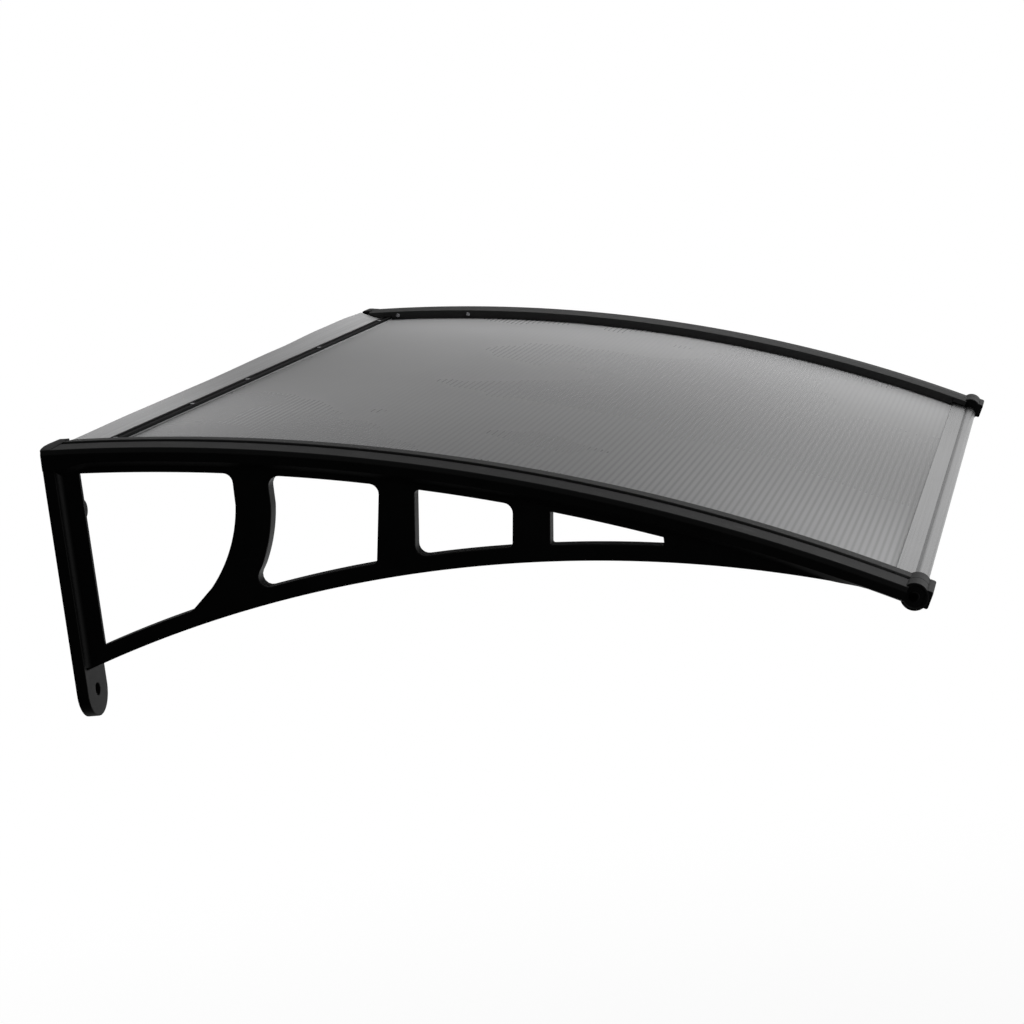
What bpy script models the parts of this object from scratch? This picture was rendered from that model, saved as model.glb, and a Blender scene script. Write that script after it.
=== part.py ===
"""Door canopy: an arched twin-wall sheet held between two moulded wall brackets.

X runs along the wall, the wall is the plane Y = 0 and the canopy stands out towards -Y.
Z = 0 is the sheet's top face at the wall. Heights along the arch are counted square to it,
from the sheet's top face, and widths on a bracket are counted inwards from its outer face.
"""

from math import asin, atan2, cos, pi, sin, sqrt, tan

import bmesh
import bpy
from mathutils import Vector

# Whole canopy, the gap between pieces, how far joined solids reach into each other,
# how far cutters run past what they cut, and how far blanks start behind the wall
WIDTH = 1.2
GAP = 0.0003
OVERLAP = 0.001
CUT_PAST = 0.01
BEHIND_WALL = 0.004

# Arch of the sheet's top face: its centre stands behind the wall plane
ARCH_RADIUS = 1.8822
ARCH_CENTRE_Y = 0.072
SHEET_FRONT = 0.784
ARCH_STEP = 0.034

# Twin-wall sheet
SHEET_THICKNESS = 0.005
SKIN = 0.0006
FLUTE_PITCH = 0.00575
FLUTE_WALL = 0.0004
SHEET_REAR_CLEARANCE = 0.0009
SHEET_SIDE_CLEARANCE = 0.0024

# Top rail of a bracket
RAIL_HEIGHT = 0.0095
SHOULDER_RISE = 0.0011
SHOULDER_WIDTH = 0.0295
RAIL_FACE_DEPTH = 0.003
RAIL_CHAMFER = 0.006
LEDGE_PAST_PLATE = 0.005
LEDGE_THICKNESS = 0.0045
REAR_BLOCK_PAST_PLATE = 0.002
REAR_BLOCK_DEPTH = 0.0097
REAR_ROUND = 0.004
RAIL_EDGE_ROUND = 0.0008

# Web of a bracket
WEB_INSET = 0.006
WEB_THICKNESS = 0.016
WEB_BAND = 0.014
RIB_THICKNESS = 0.004
RIB_DEPTH = 0.032
ARM_RADIUS = 1.1604
ARM_DEPTH = 0.0147
ARM_END_BACK = 0.036
ARM_END_DEPTH = 0.0049
HEEL_ABOVE_TAB = 0.0172
CORNER_ROUND = 0.009
SMALL_ROUND = 0.004

# Windows, as distances from the wall: rear edge top and bottom, front edge bottom and top
WINDOW_2 = (0.2072, 0.1762, 0.2965, 0.3078)
WINDOW_3 = (0.3395, 0.3325, 0.4205, 0.4255)
WINDOW_4_REAR = (0.4580, 0.4545)
WINDOW_4_TIP = 0.0075
WINDOW_1_BULGE = 0.1342
WINDOW_1_FRONT = 0.1745
WINDOW_1_FOOT = 0.1195
WINDOW_2_BULGE = 0.148

# Wall plate, its tab and its upper boss
PLATE_WIDTH = 0.05
PLATE_THICKNESS = 0.0115
TAB_DROP = 0.2178
TAB_HOLE_RADIUS = 0.00575
FILLET_RADIUS = 0.0061
FILLET_FADE = 0.07
BOSS_DROP = 0.0515
BOSS_OFFSET = 0.006
BOSS_RADIUS = 0.0094
BOSS_HEIGHT = 0.0095
BOSS_HOLE_RADIUS = 0.0035

# Nose of a bracket, ahead of and above the sheet's front edge
NOSE_AHEAD = 0.0085
NOSE_RISE = 0.0026
NOSE_RADIUS = 0.0123
PROFILE_SEAT = 0.0097
BAR_FRONT = 0.0226
BAR_THICKNESS = 0.006
BAR_TOP = 0.012
BAR_BOTTOM = 0.004
BAR_ROUND = 0.0018
BAR_END_STEP = 0.0002

# Clamp strip over the sheet's edge
STRIP_TOP = 0.012
STRIP_INNER_TOP = 0.0103
STRIP_STEP = 0.0325
STRIP_PAST_LEDGE = 0.0047
GROOVE_DEPTH = 0.0025
STRIP_EDGE_ROUND = 0.001

# Front profile
FLANGE_REACH = 0.014
LOWER_FLANGE_REACH = 0.0105
FLANGE_TOP = 0.0032
FLANGE_FRONT_TOP = 0.0042
PROFILE_WALL = 0.0016
TUBE_RADIUS = 0.0083
TUBE_BORE = 0.0065
TUBE_AHEAD = 0.0088
TUBE_DROP = 0.0028
TUBE_TOP_STEP = 0.0006
TUBE_LOW_STEP = 0.0009
PROFILE_ROOM = 0.002

# Rear rail and wall seal
RAIL_CENTRE = 0.0365
RAIL_WIDTH = 0.016
REAR_RAIL_THICKNESS = 0.0026
REAR_RAIL_LIP = 0.0042
REAR_RAIL_FLOOR = 0.0013
SEAL_THICKNESS = 0.0012
SEAL_COLUMN = 0.045
SEAL_CURVE = 1.15

# Heights of the seal's wall edge, each at a share of its length from the left
SEAL_BOW_HEIGHTS = (0.0068, 0.0081, 0.0084, 0.0105, 0.0127, 0.0131, 0.0118)
SEAL_BOW_SHARES = (0.0, 0.194, 0.38, 0.648, 0.815, 0.917, 1.0)

# Screws: the rail's stand at shares of its length, and a pan head's outline is given
# as shares of its height and radius
PAN_HEAD_SHARES = ((1.0, 0.55), (0.8, 0.85), (0.35, 1.0), (0.0, 1.0))
TIP_SHARE = 0.4
CLAMP_SCREWS = 4
CLAMP_SCREW_FIRST = 0.09
CLAMP_SCREW_PITCH = 0.19
CLAMP_SCREW_EDGE = 0.0105
CLAMP_SHANK_RADIUS = 0.0019
CLAMP_HEAD_RADIUS = 0.004
CLAMP_HEAD_HEIGHT = 0.0026
CLAMP_REACH = 0.0065
SCREW_CLEARANCE = 0.0003
SIDE_SCREWS = (0.0485, 0.141)
SIDE_SCREW_RISE = 0.0052
SIDE_SHANK_RADIUS = 0.0014
SIDE_HEAD_RADIUS = 0.0025
SIDE_HEAD_HEIGHT = 0.0014
SIDE_REACH = 0.012
RAIL_SCREW_SHARES = (0.04, 0.252, 0.429, 0.695, 0.96)
RAIL_SHANK_RADIUS = 0.0013
RAIL_HEAD_RADIUS = 0.0036
RAIL_HEAD_HEIGHT = 0.0016
RAIL_SCREW_TIP = 0.0025
NOSE_SCREW_HEAD = 0.0045
NOSE_SCREW_PROUD = 0.0012
NOSE_SHANK_RADIUS = 0.0018
NOSE_SCREW_LENGTH = 0.03

HALF = WIDTH / 2
LEDGE_WIDTH = PLATE_WIDTH + LEDGE_PAST_PLATE
REAR_BLOCK_WIDTH = PLATE_WIDTH + REAR_BLOCK_PAST_PLATE
STRIP_INNER = LEDGE_WIDTH + STRIP_PAST_LEDGE
NOSE_INNER = STRIP_INNER - PROFILE_SEAT
CLAMP_SCREW_INSET = LEDGE_WIDTH - CLAMP_SCREW_EDGE
SHEET_REAR = REAR_BLOCK_DEPTH + SHEET_REAR_CLEARANCE
ARM_END = SHEET_FRONT - ARM_END_BACK
ARCH_CENTRE_Z = -sqrt(ARCH_RADIUS ** 2 - ARCH_CENTRE_Y ** 2)
ARCH_START = asin(ARCH_CENTRE_Y / ARCH_RADIUS)
SHEET_HALF = HALF - SHOULDER_WIDTH - SHEET_SIDE_CLEARANCE
RAIL_HALF = HALF - STRIP_INNER - GAP
LEDGE_TOP = -SHEET_THICKNESS - 2 * GAP
LOWEST = -TAB_DROP - PLATE_WIDTH


def arch(along, height):
    """(y, z) at a length along the sheet's top face from the wall and a height above it."""
    angle = ARCH_START + along / ARCH_RADIUS
    radius = ARCH_RADIUS + height
    return ARCH_CENTRE_Y - radius * sin(angle), ARCH_CENTRE_Z + radius * cos(angle)


def arch_z(out, height):
    """Height of the arch at a distance out from the wall."""
    return ARCH_CENTRE_Z + sqrt((ARCH_RADIUS + height) ** 2 - (out + ARCH_CENTRE_Y) ** 2)


def front(ahead, height):
    """(y, z) in the straight frame at the sheet's front edge."""
    y, z = arch(SHEET_FRONT, height)
    angle = ARCH_START + SHEET_FRONT / ARCH_RADIUS
    return y - ahead * cos(angle), z - ahead * sin(angle)


def arm_centre():
    """Centre of the arm's lower arc, which runs from the heel at the wall to the nose."""
    heel = Vector((0.0, -TAB_DROP + HEEL_ABOVE_TAB))
    tip = Vector(arch(ARM_END, -ARM_END_DEPTH))
    middle = (heel + tip) / 2
    along = (tip - heel) / 2
    reach = sqrt(ARM_RADIUS ** 2 - along.length ** 2)
    down = Vector((-along.y, along.x)).normalized()
    return middle + down * reach


ARM_CENTRE = arm_centre()


def arm_z(out, depth):
    """Height of the lower arm at a distance out from the wall, a depth above its lower edge."""
    return ARM_CENTRE.y + sqrt((ARM_RADIUS + depth) ** 2 - (out + ARM_CENTRE.x) ** 2)


def spaced(start, end, step):
    count = max(1, round(abs(end - start) / step))
    return [start + (end - start) * i / count for i in range(count + 1)]


def arc(centre, radius, start, end, count):
    return [
        (centre[0] + radius * cos(a), centre[1] + radius * sin(a))
        for a in spaced(start, end, abs(end - start) / count)
    ]


def rounded(corners, steps=4):
    """Outline through (point, radius) corners, each with a radius turned into an arc."""
    points = []
    for i, (point, radius) in enumerate(corners):
        here = Vector(point)
        if not radius:
            points.append(tuple(here))
            continue
        before = Vector(corners[i - 1][0]) - here
        after = Vector(corners[(i + 1) % len(corners)][0]) - here
        half = before.angle(after) / 2
        setback = radius / tan(half)
        centre = here + (before.normalized() + after.normalized()).normalized() * radius / sin(half)
        first = here + before.normalized() * setback - centre
        last = here + after.normalized() * setback - centre
        start = atan2(first.y, first.x)
        turn = (atan2(last.y, last.x) - start + pi) % (2 * pi) - pi
        points += arc(centre, radius, start, start + turn, steps)
    return points


def material(name, colour, roughness, metallic=0.0, alpha=1.0):
    made = bpy.data.materials.new(name)
    made.use_nodes = True
    shader = made.node_tree.nodes["Principled BSDF"]
    shader.inputs["Base Color"].default_value = (*colour, 1.0)
    shader.inputs["Roughness"].default_value = roughness
    shader.inputs["Metallic"].default_value = metallic
    shader.inputs["Alpha"].default_value = alpha
    return made


def add_object(name, mesh_edit, finish=None):
    """New object from a closed bmesh. Without a finish it is a helper that isn't rendered."""
    bmesh.ops.remove_doubles(mesh_edit, verts=mesh_edit.verts, dist=1e-7)
    bmesh.ops.recalc_face_normals(mesh_edit, faces=mesh_edit.faces)
    mesh = bpy.data.meshes.new(name)
    mesh_edit.to_mesh(mesh)
    mesh_edit.free()
    made = bpy.data.objects.new(name, mesh)
    bpy.context.scene.collection.objects.link(made)
    if finish:
        mesh.materials.append(finish)
    else:
        made.hide_render = True
        made.display_type = "WIRE"
    return made


def loft(rings):
    """Closed bmesh through rings of as many points each."""
    made = bmesh.new()
    rows = [[made.verts.new(point) for point in ring] for ring in rings]
    size = len(rings[0])
    for low, high in zip(rows, rows[1:]):
        for i in range(size):
            j = (i + 1) % size
            made.faces.new((low[i], low[j], high[j], high[i]))
    made.faces.new(rows[0])
    made.faces.new(rows[-1])
    return made


def prism(name, outline, x_from, x_to, finish=None):
    """Outline in (y, z) drawn out along X."""
    return add_object(name, loft([[(x, y, z) for y, z in outline] for x in (x_from, x_to)]), finish)


def lathe(name, profile, place, direction, finish=None, sides=16):
    """Turned solid: profile of (along, radius) about a line from place in direction."""
    turn = Vector((0, 0, 1)).rotation_difference(Vector(direction)).to_matrix()
    rings = []
    for along, radius in profile:
        ring = [
            Vector((radius * cos(2 * pi * i / sides), radius * sin(2 * pi * i / sides), along))
            for i in range(sides)
        ]
        rings.append([turn @ point + Vector(place) for point in ring])
    made = add_object(name, loft(rings), finish)
    made.data.shade_smooth()
    made.data.set_sharp_from_angle(angle=0.6)
    return made


def combine(target, other, operation):
    step = target.modifiers.new(other.name, "BOOLEAN")
    step.operation = operation
    step.object = other
    step.solver = "EXACT"


class Side:
    """Left or right bracket: turns a width counted from the outer face into X."""

    def __init__(self, name, sign):
        self.name = name
        self.sign = sign

    def x(self, width):
        return self.sign * (HALF - width)

    def prism(self, name, outline, width_from, width_to):
        return prism(f"{self.name}_{name}", outline, self.x(width_from), self.x(width_to))

    def sweep(self, name, section, alongs, finish=None):
        """Section of (width, height) points swept along the arch."""
        rings = [
            [(self.x(width), *arch(along, height)) for width, height in section]
            for along in alongs
        ]
        return add_object(f"{self.name}_{name}", loft(rings), finish)


def rear_corner_cutter(side, name, start, top):
    """What lies behind a plane near the wall and outside a rounded top edge there."""
    centre = (-start - REAR_ROUND, top - REAR_ROUND)
    edge = arc(centre, REAR_ROUND, 0.0, pi / 2, 5)
    behind = BEHIND_WALL + CUT_PAST
    above = top + CUT_PAST
    outline = [(-start, LOWEST), *edge, (edge[-1][0], above), (behind, above), (behind, LOWEST)]
    return side.prism(name, outline, -CUT_PAST, STRIP_INNER + CUT_PAST)


def window_outline(rear_top, rear_bottom, front_bottom, front_top, rounds):
    """Window between the web's top band and the lower arm, from its four corners."""
    top_rear, bottom_rear, bottom_front, top_front = rounds

    def upper(out):
        return -out, arch_z(out, -WEB_BAND)

    def lower(out):
        return -out, arm_z(out, ARM_DEPTH)

    span = front_top - rear_top
    corners = [(upper(rear_top), top_rear)]
    corners += [(upper(rear_top + span * share), 0) for share in (0.25, 0.5, 0.75)]
    corners += [(upper(front_top), top_front), (lower(front_bottom), bottom_front)]
    span = front_bottom - rear_bottom
    corners += [(lower(rear_bottom + span * share), 0) for share in (0.75, 0.5, 0.25)]
    corners.append((lower(rear_bottom), bottom_rear))
    return corners


def bulged(corners, index, radius, way, steps=5):
    """Replaces the straight run after a corner with an arc, out of the window where way is 1."""
    start = Vector(corners[index][0])
    end = Vector(corners[(index + 1) % len(corners)][0])
    half = (end - start) / 2
    outward = Vector((half.y, -half.x)).normalized()
    centre = (start + end) / 2 - way * outward * sqrt(radius ** 2 - half.length ** 2)
    first = atan2(*(start - centre).yx)
    turn = (atan2(*(end - centre).yx) - first + pi) % (2 * pi) - pi
    added = [(point, 0) for point in arc(centre, radius, first, first + turn, steps)[1:-1]]
    return corners[:index + 1] + added + corners[index + 1:]


def window_tip():
    """Distance out at which the last window is as low as its blunt tip."""
    low, high = WINDOW_4_REAR[0], ARM_END
    for _ in range(40):
        middle = (low + high) / 2
        if arch_z(middle, -WEB_BAND) - arm_z(middle, ARM_DEPTH) > WINDOW_4_TIP:
            low = middle
        else:
            high = middle
    return low


def window_cutters(side):
    reach = (WEB_INSET - CUT_PAST, WEB_INSET + WEB_THICKNESS + CUT_PAST)
    first = window_outline(
        RIB_DEPTH, RIB_DEPTH, WINDOW_1_FOOT, WINDOW_1_FRONT, (0, 0, CORNER_ROUND, CORNER_ROUND)
    )
    first = bulged(first, 4, WINDOW_1_BULGE, 1)
    second = window_outline(*WINDOW_2, (CORNER_ROUND, CORNER_ROUND, SMALL_ROUND, CORNER_ROUND))
    second = bulged(second, len(second) - 1, WINDOW_2_BULGE, -1)
    third = window_outline(*WINDOW_3, (SMALL_ROUND, CORNER_ROUND, SMALL_ROUND, CORNER_ROUND))
    tip = window_tip()
    fourth = window_outline(*WINDOW_4_REAR, tip, tip, (0, SMALL_ROUND / 2, SMALL_ROUND / 2, 0))
    for number, corners in enumerate((first, second, third, fourth), 1):
        yield side.prism(f"window_{number}_cutter", rounded(corners), *reach)
    behind_rib = [
        (-PLATE_THICKNESS / 2, arch_z(0, -WEB_BAND)),
        (-RIB_DEPTH - OVERLAP, arch_z(RIB_DEPTH, -WEB_BAND)),
        (-RIB_DEPTH - OVERLAP, arm_z(RIB_DEPTH, ARM_DEPTH)),
        (-PLATE_THICKNESS / 2, arm_z(PLATE_THICKNESS / 2, ARM_DEPTH)),
    ]
    yield side.prism("behind_rib_cutter", behind_rib, WEB_INSET + RIB_THICKNESS, reach[1])


def rail_section():
    """Top rail with its chamfered foot, its shoulder and the ledge under the sheet."""
    foot = -RAIL_FACE_DEPTH - RAIL_CHAMFER - OVERLAP
    inner_web = WEB_INSET + WEB_THICKNESS - OVERLAP
    edge = RAIL_EDGE_ROUND
    shoulder = RAIL_HEIGHT + SHOULDER_RISE
    return [
        (0.0, RAIL_HEIGHT - edge),
        (edge, RAIL_HEIGHT),
        (SHOULDER_WIDTH - edge, shoulder),
        (SHOULDER_WIDTH, shoulder - edge),
        (SHOULDER_WIDTH, LEDGE_TOP),
        (LEDGE_WIDTH, LEDGE_TOP),
        (LEDGE_WIDTH, LEDGE_TOP - LEDGE_THICKNESS),
        (inner_web, LEDGE_TOP - LEDGE_THICKNESS),
        (inner_web, foot),
        (RAIL_CHAMFER + OVERLAP, foot),
        (0.0, -RAIL_FACE_DEPTH),
    ]


def below_arm_cutter(side):
    """Everything under the lower arm and, past its end, under the thin front of the rail."""
    tip = -arch(ARM_END, -ARM_END_DEPTH)[0]
    edge = [(-out, arm_z(out, 0)) for out in spaced(-BEHIND_WALL - CUT_PAST, tip, ARCH_STEP)]
    alongs = spaced(ARM_END, SHEET_FRONT + OVERLAP, ARCH_STEP / 2)
    edge += [arch(along, -ARM_END_DEPTH) for along in alongs[1:]]
    outline = [*edge, (edge[-1][0], LOWEST), (edge[0][0], LOWEST)]
    return side.prism("below_arm_cutter", outline, -CUT_PAST, STRIP_INNER + CUT_PAST)


def web_blank(side):
    """Web before its windows, from inside the rail to below the arm."""
    far = -arch(ARM_END, 0)[0]
    outs = spaced(OVERLAP - BEHIND_WALL, far, ARCH_STEP)
    top = [(-out, arch_z(out, -RAIL_FACE_DEPTH - OVERLAP)) for out in outs]
    bottom = [(-out, arm_z(out, -CUT_PAST)) for out in reversed(outs)]
    return side.prism("web", top + bottom, WEB_INSET, WEB_INSET + WEB_THICKNESS)


def wall_plate(side):
    """Plate against the wall, with the round tab at its foot."""
    middle = PLATE_WIDTH / 2
    top = LEDGE_TOP - LEDGE_THICKNESS / 2
    outline = [(0.0, top), (0.0, -TAB_DROP)]
    outline += arc((middle, -TAB_DROP), middle, pi, 2 * pi, 20)[1:]
    outline.append((PLATE_WIDTH, top))
    rings = [[(side.x(w), y, z) for w, z in outline] for y in (BEHIND_WALL, -PLATE_THICKNESS)]
    return add_object(f"{side.name}_plate", loft(rings))


def rear_block(side):
    """Full-width end of the rail at the wall, behind the clamp strip."""
    inside = SHOULDER_WIDTH - 2 * OVERLAP
    section = [
        (inside, LEDGE_TOP - OVERLAP),
        (inside, RAIL_HEIGHT),
        (REAR_BLOCK_WIDTH - RAIL_EDGE_ROUND, RAIL_HEIGHT),
        (REAR_BLOCK_WIDTH, RAIL_HEIGHT - RAIL_EDGE_ROUND),
        (REAR_BLOCK_WIDTH, LEDGE_TOP - OVERLAP),
    ]
    rings = [[(side.x(w), y, z) for w, z in section] for y in (BEHIND_WALL, -REAR_BLOCK_DEPTH)]
    return add_object(f"{side.name}_rear_block", loft(rings))


def plate_fillet(side):
    """Concave fillet from the plate's outer front edge into the rib."""
    edge = arc((0.0, -PLATE_THICKNESS - FILLET_RADIUS), FILLET_RADIUS, pi / 2 - FILLET_FADE, 0.0, 6)
    inside = WEB_INSET + RIB_THICKNESS / 2
    behind = OVERLAP - PLATE_THICKNESS
    outline = [(edge[0][0], behind), *edge, (inside, edge[-1][1]), (inside, behind)]
    heights = (arch_z(0, -RAIL_FACE_DEPTH), arm_z(PLATE_THICKNESS, ARM_DEPTH / 5))
    rings = [[(side.x(w), y, z) for w, y in outline] for z in heights]
    return add_object(f"{side.name}_fillet", loft(rings))


def nose(side):
    """Round nose and the bar across its front."""
    drum = lathe(
        f"{side.name}_nose", [(0.0, NOSE_RADIUS), (NOSE_INNER - WEB_INSET, NOSE_RADIUS)],
        (side.x(WEB_INSET), *front(NOSE_AHEAD, NOSE_RISE)), (-side.sign, 0, 0), sides=40,
    )
    rear = BAR_FRONT - BAR_THICKNESS
    corners = [
        (front(rear, -BAR_BOTTOM), 0),
        (front(BAR_FRONT, -BAR_BOTTOM), BAR_ROUND),
        (front(BAR_FRONT, BAR_TOP), BAR_ROUND),
        (front(rear, BAR_TOP), 0),
    ]
    step = BAR_END_STEP
    bar = side.prism("bar", rounded(corners, 3), WEB_INSET + step, NOSE_INNER - step)
    return drum, bar


def bracket(side, finish):
    """One moulding: rail, web, arm, leg plate, tab, boss and nose."""
    alongs = spaced(-BEHIND_WALL, SHEET_FRONT - OVERLAP, ARCH_STEP)
    body = side.sweep("bracket", rail_section(), alongs, finish)
    combine(body, web_blank(side), "UNION")
    combine(body, below_arm_cutter(side), "DIFFERENCE")
    for cutter in window_cutters(side):
        combine(body, cutter, "DIFFERENCE")
    boss_z = -BOSS_DROP
    boss_x = side.x(PLATE_WIDTH / 2 + BOSS_OFFSET)
    tab_x = side.x(PLATE_WIDTH / 2)
    boss = lathe(
        f"{side.name}_boss", [(-OVERLAP, BOSS_RADIUS), (BOSS_HEIGHT, BOSS_RADIUS)],
        (boss_x, -PLATE_THICKNESS, boss_z), (0, -1, 0), sides=24,
    )
    for part in (wall_plate(side), rear_block(side), plate_fillet(side), boss, *nose(side)):
        combine(body, part, "UNION")
    through = (-BEHIND_WALL - CUT_PAST, PLATE_THICKNESS + BOSS_HEIGHT + CUT_PAST)
    for name, x, z, radius in (
        ("boss_hole_cutter", boss_x, boss_z, BOSS_HOLE_RADIUS),
        ("tab_hole_cutter", tab_x, -TAB_DROP, TAB_HOLE_RADIUS),
    ):
        profile = [(along, radius) for along in through]
        cutter = lathe(f"{side.name}_{name}", profile, (x, 0, z), (0, -1, 0), sides=24)
        combine(body, cutter, "DIFFERENCE")
    behind = -NOSE_RADIUS - CUT_PAST
    slot = [front(behind, -SHEET_THICKNESS - GAP), front(behind, 2 * GAP)]
    slot += [front(2 * GAP, 2 * GAP), front(2 * GAP, -SHEET_THICKNESS - GAP)]
    combine(body, side.prism("slot_cutter", slot, SHOULDER_WIDTH, STRIP_INNER), "DIFFERENCE")
    behind = -FLANGE_REACH - PROFILE_ROOM
    ahead = TUBE_AHEAD + TUBE_RADIUS + CUT_PAST
    low = -TUBE_DROP - TUBE_RADIUS - CUT_PAST
    room = [front(behind, low), front(behind, FLANGE_TOP), front(ahead, FLANGE_TOP), front(ahead, low)]
    profile_room = side.prism("profile_cutter", room, NOSE_INNER + GAP / 2, STRIP_INNER)
    combine(body, profile_room, "DIFFERENCE")
    corner = rear_corner_cutter(side, "corner_cutter", 0.0, RAIL_HEIGHT + SHOULDER_RISE / 2)
    combine(body, corner, "DIFFERENCE")
    for number, along in enumerate(clamp_screw_places(), 1):
        hole = clamp_hole(side, f"ledge_hole_{number}", along, LEDGE_TOP - LEDGE_THICKNESS - CUT_PAST, 0.0)
        combine(body, hole, "DIFFERENCE")
    for number, out in enumerate(SIDE_SCREWS, 1):
        combine(body, side_hole(side, f"rail_hole_{number}", out), "DIFFERENCE")
    y, z = front(NOSE_AHEAD, NOSE_RISE)
    radius = NOSE_SHANK_RADIUS + SCREW_CLEARANCE
    profile = [(-CUT_PAST, radius), (NOSE_SCREW_LENGTH + GAP, radius)]
    hole = lathe(f"{side.name}_nose_hole", profile, (side.x(WEB_INSET), y, z), (-side.sign, 0, 0))
    combine(body, hole, "DIFFERENCE")
    body.data.shade_smooth()
    body.data.set_sharp_from_angle(angle=0.5)
    return body


def clamp_screw_places():
    """Lengths along the arch of the clamp screws, each at the middle of the nearest flute."""
    places = []
    for number in range(CLAMP_SCREWS):
        wanted = CLAMP_SCREW_FIRST + number * CLAMP_SCREW_PITCH
        flute = round((wanted - SHEET_REAR) / flute_pitch() - 0.5)
        places.append(SHEET_REAR + (flute + 0.5) * flute_pitch())
    return places


def up_at(along):
    angle = ARCH_START + along / ARCH_RADIUS
    return 0, -sin(angle), cos(angle)


def clamp_hole(side, name, along, low, high):
    radius = CLAMP_SHANK_RADIUS + SCREW_CLEARANCE
    place = (side.x(CLAMP_SCREW_INSET), *arch(along, 0))
    return lathe(f"{side.name}_{name}", [(low, radius), (high, radius)], place, up_at(along), sides=12)


def side_hole(side, name, out):
    along = (asin((out + ARCH_CENTRE_Y) / ARCH_RADIUS) - ARCH_START) * ARCH_RADIUS
    radius = SIDE_SHANK_RADIUS + SCREW_CLEARANCE
    place = (side.x(STRIP_INNER), *arch(along, SIDE_SCREW_RISE))
    reach = STRIP_INNER - SHOULDER_WIDTH + SIDE_REACH + GAP
    profile = [(-CUT_PAST, radius), (reach, radius)]
    return lathe(f"{side.name}_{name}", profile, place, (side.sign, 0, 0), sides=12)


def strip_section():
    outer = SHOULDER_WIDTH + GAP
    shelf = RAIL_HEIGHT + SHOULDER_RISE - GROOVE_DEPTH
    edge = STRIP_EDGE_ROUND
    return [
        (outer, GAP),
        (outer, shelf),
        (STRIP_STEP, shelf),
        (STRIP_STEP, STRIP_TOP - edge),
        (STRIP_STEP + edge, STRIP_TOP),
        (STRIP_INNER - edge, STRIP_INNER_TOP),
        (STRIP_INNER, STRIP_INNER_TOP - edge),
        (STRIP_INNER, GAP),
    ]


def clamp_strip(side, finish):
    """Lip along the sheet's edge, parted from the bracket's shoulder by a groove."""
    start = REAR_BLOCK_DEPTH
    alongs = spaced(start, SHEET_FRONT + 2 * OVERLAP, ARCH_STEP)
    body = side.sweep("clamp_strip", strip_section(), alongs, finish)
    corner = rear_corner_cutter(side, "strip_corner_cutter", start + GAP, STRIP_TOP)
    combine(body, corner, "DIFFERENCE")
    y, z = front(NOSE_AHEAD, NOSE_RISE)
    radius = NOSE_RADIUS + GAP
    clear = lathe(
        f"{side.name}_nose_clearance", [(0.0, radius), (STRIP_INNER + CUT_PAST, radius)],
        (side.x(0.0), y, z), (-side.sign, 0, 0), sides=40,
    )
    combine(body, clear, "DIFFERENCE")
    behind = -FLANGE_REACH - 2 * GAP
    ahead = NOSE_RADIUS + CUT_PAST
    top = FLANGE_FRONT_TOP + GAP
    room = [front(behind, -CUT_PAST), front(behind, top), front(ahead, top), front(ahead, -CUT_PAST)]
    flange_room = side.prism("flange_cutter", room, NOSE_INNER - GAP, STRIP_INNER + CUT_PAST)
    combine(body, flange_room, "DIFFERENCE")
    for number, along in enumerate(clamp_screw_places(), 1):
        hole = clamp_hole(side, f"strip_hole_{number}", along, -CUT_PAST, CLAMP_REACH + GAP)
        combine(body, hole, "DIFFERENCE")
    for number, out in enumerate(SIDE_SCREWS, 1):
        combine(body, side_hole(side, f"strip_side_hole_{number}", out), "DIFFERENCE")
    body.data.shade_smooth()
    body.data.set_sharp_from_angle(angle=0.5)
    return body


def flute_count():
    return round((SHEET_FRONT - SHEET_REAR - FLUTE_WALL) / FLUTE_PITCH)


def flute_pitch():
    return (SHEET_FRONT - SHEET_REAR - FLUTE_WALL) / flute_count()


def roof_sheet(finish):
    """Twin-wall sheet: two skins and the walls between its flutes, open at both ends."""
    levels = (0.0, -SKIN, -SHEET_THICKNESS + SKIN, -SHEET_THICKNESS)
    stations = []
    for i in range(flute_count() + 1):
        wall = SHEET_REAR + i * flute_pitch()
        stations += [wall, wall + FLUTE_WALL]
    made = bmesh.new()
    ends = [
        [[made.verts.new((x, *arch(along, level))) for level in levels] for along in stations]
        for x in (-SHEET_HALF, SHEET_HALF)
    ]
    left, right = ends
    last = len(stations) - 1
    for i in range(last):
        in_wall = i % 2 == 0
        for end in ends:
            for j in (0, 1, 2) if in_wall else (0, 2):
                made.faces.new((end[i][j], end[i][j + 1], end[i + 1][j + 1], end[i + 1][j]))
        for j in (0, 3) if in_wall else (0, 1, 2, 3):
            made.faces.new((left[i][j], left[i + 1][j], right[i + 1][j], right[i][j]))
        if not in_wall:
            for k in (i, i + 1):
                made.faces.new((left[k][1], left[k][2], right[k][2], right[k][1]))
    for k in (0, last):
        for j in range(3):
            made.faces.new((left[k][j], left[k][j + 1], right[k][j + 1], right[k][j]))
    sheet = add_object("roof_sheet", made, finish)
    for side in SIDES:
        for number, along in enumerate(clamp_screw_places(), 1):
            hole = clamp_hole(side, f"sheet_hole_{number}", along, *through_sheet())
            combine(sheet, hole, "DIFFERENCE")
    for number, x in enumerate(rail_screw_places(), 1):
        combine(sheet, rail_hole(f"sheet_rail_hole_{number}", x), "DIFFERENCE")
    return sheet


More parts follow.
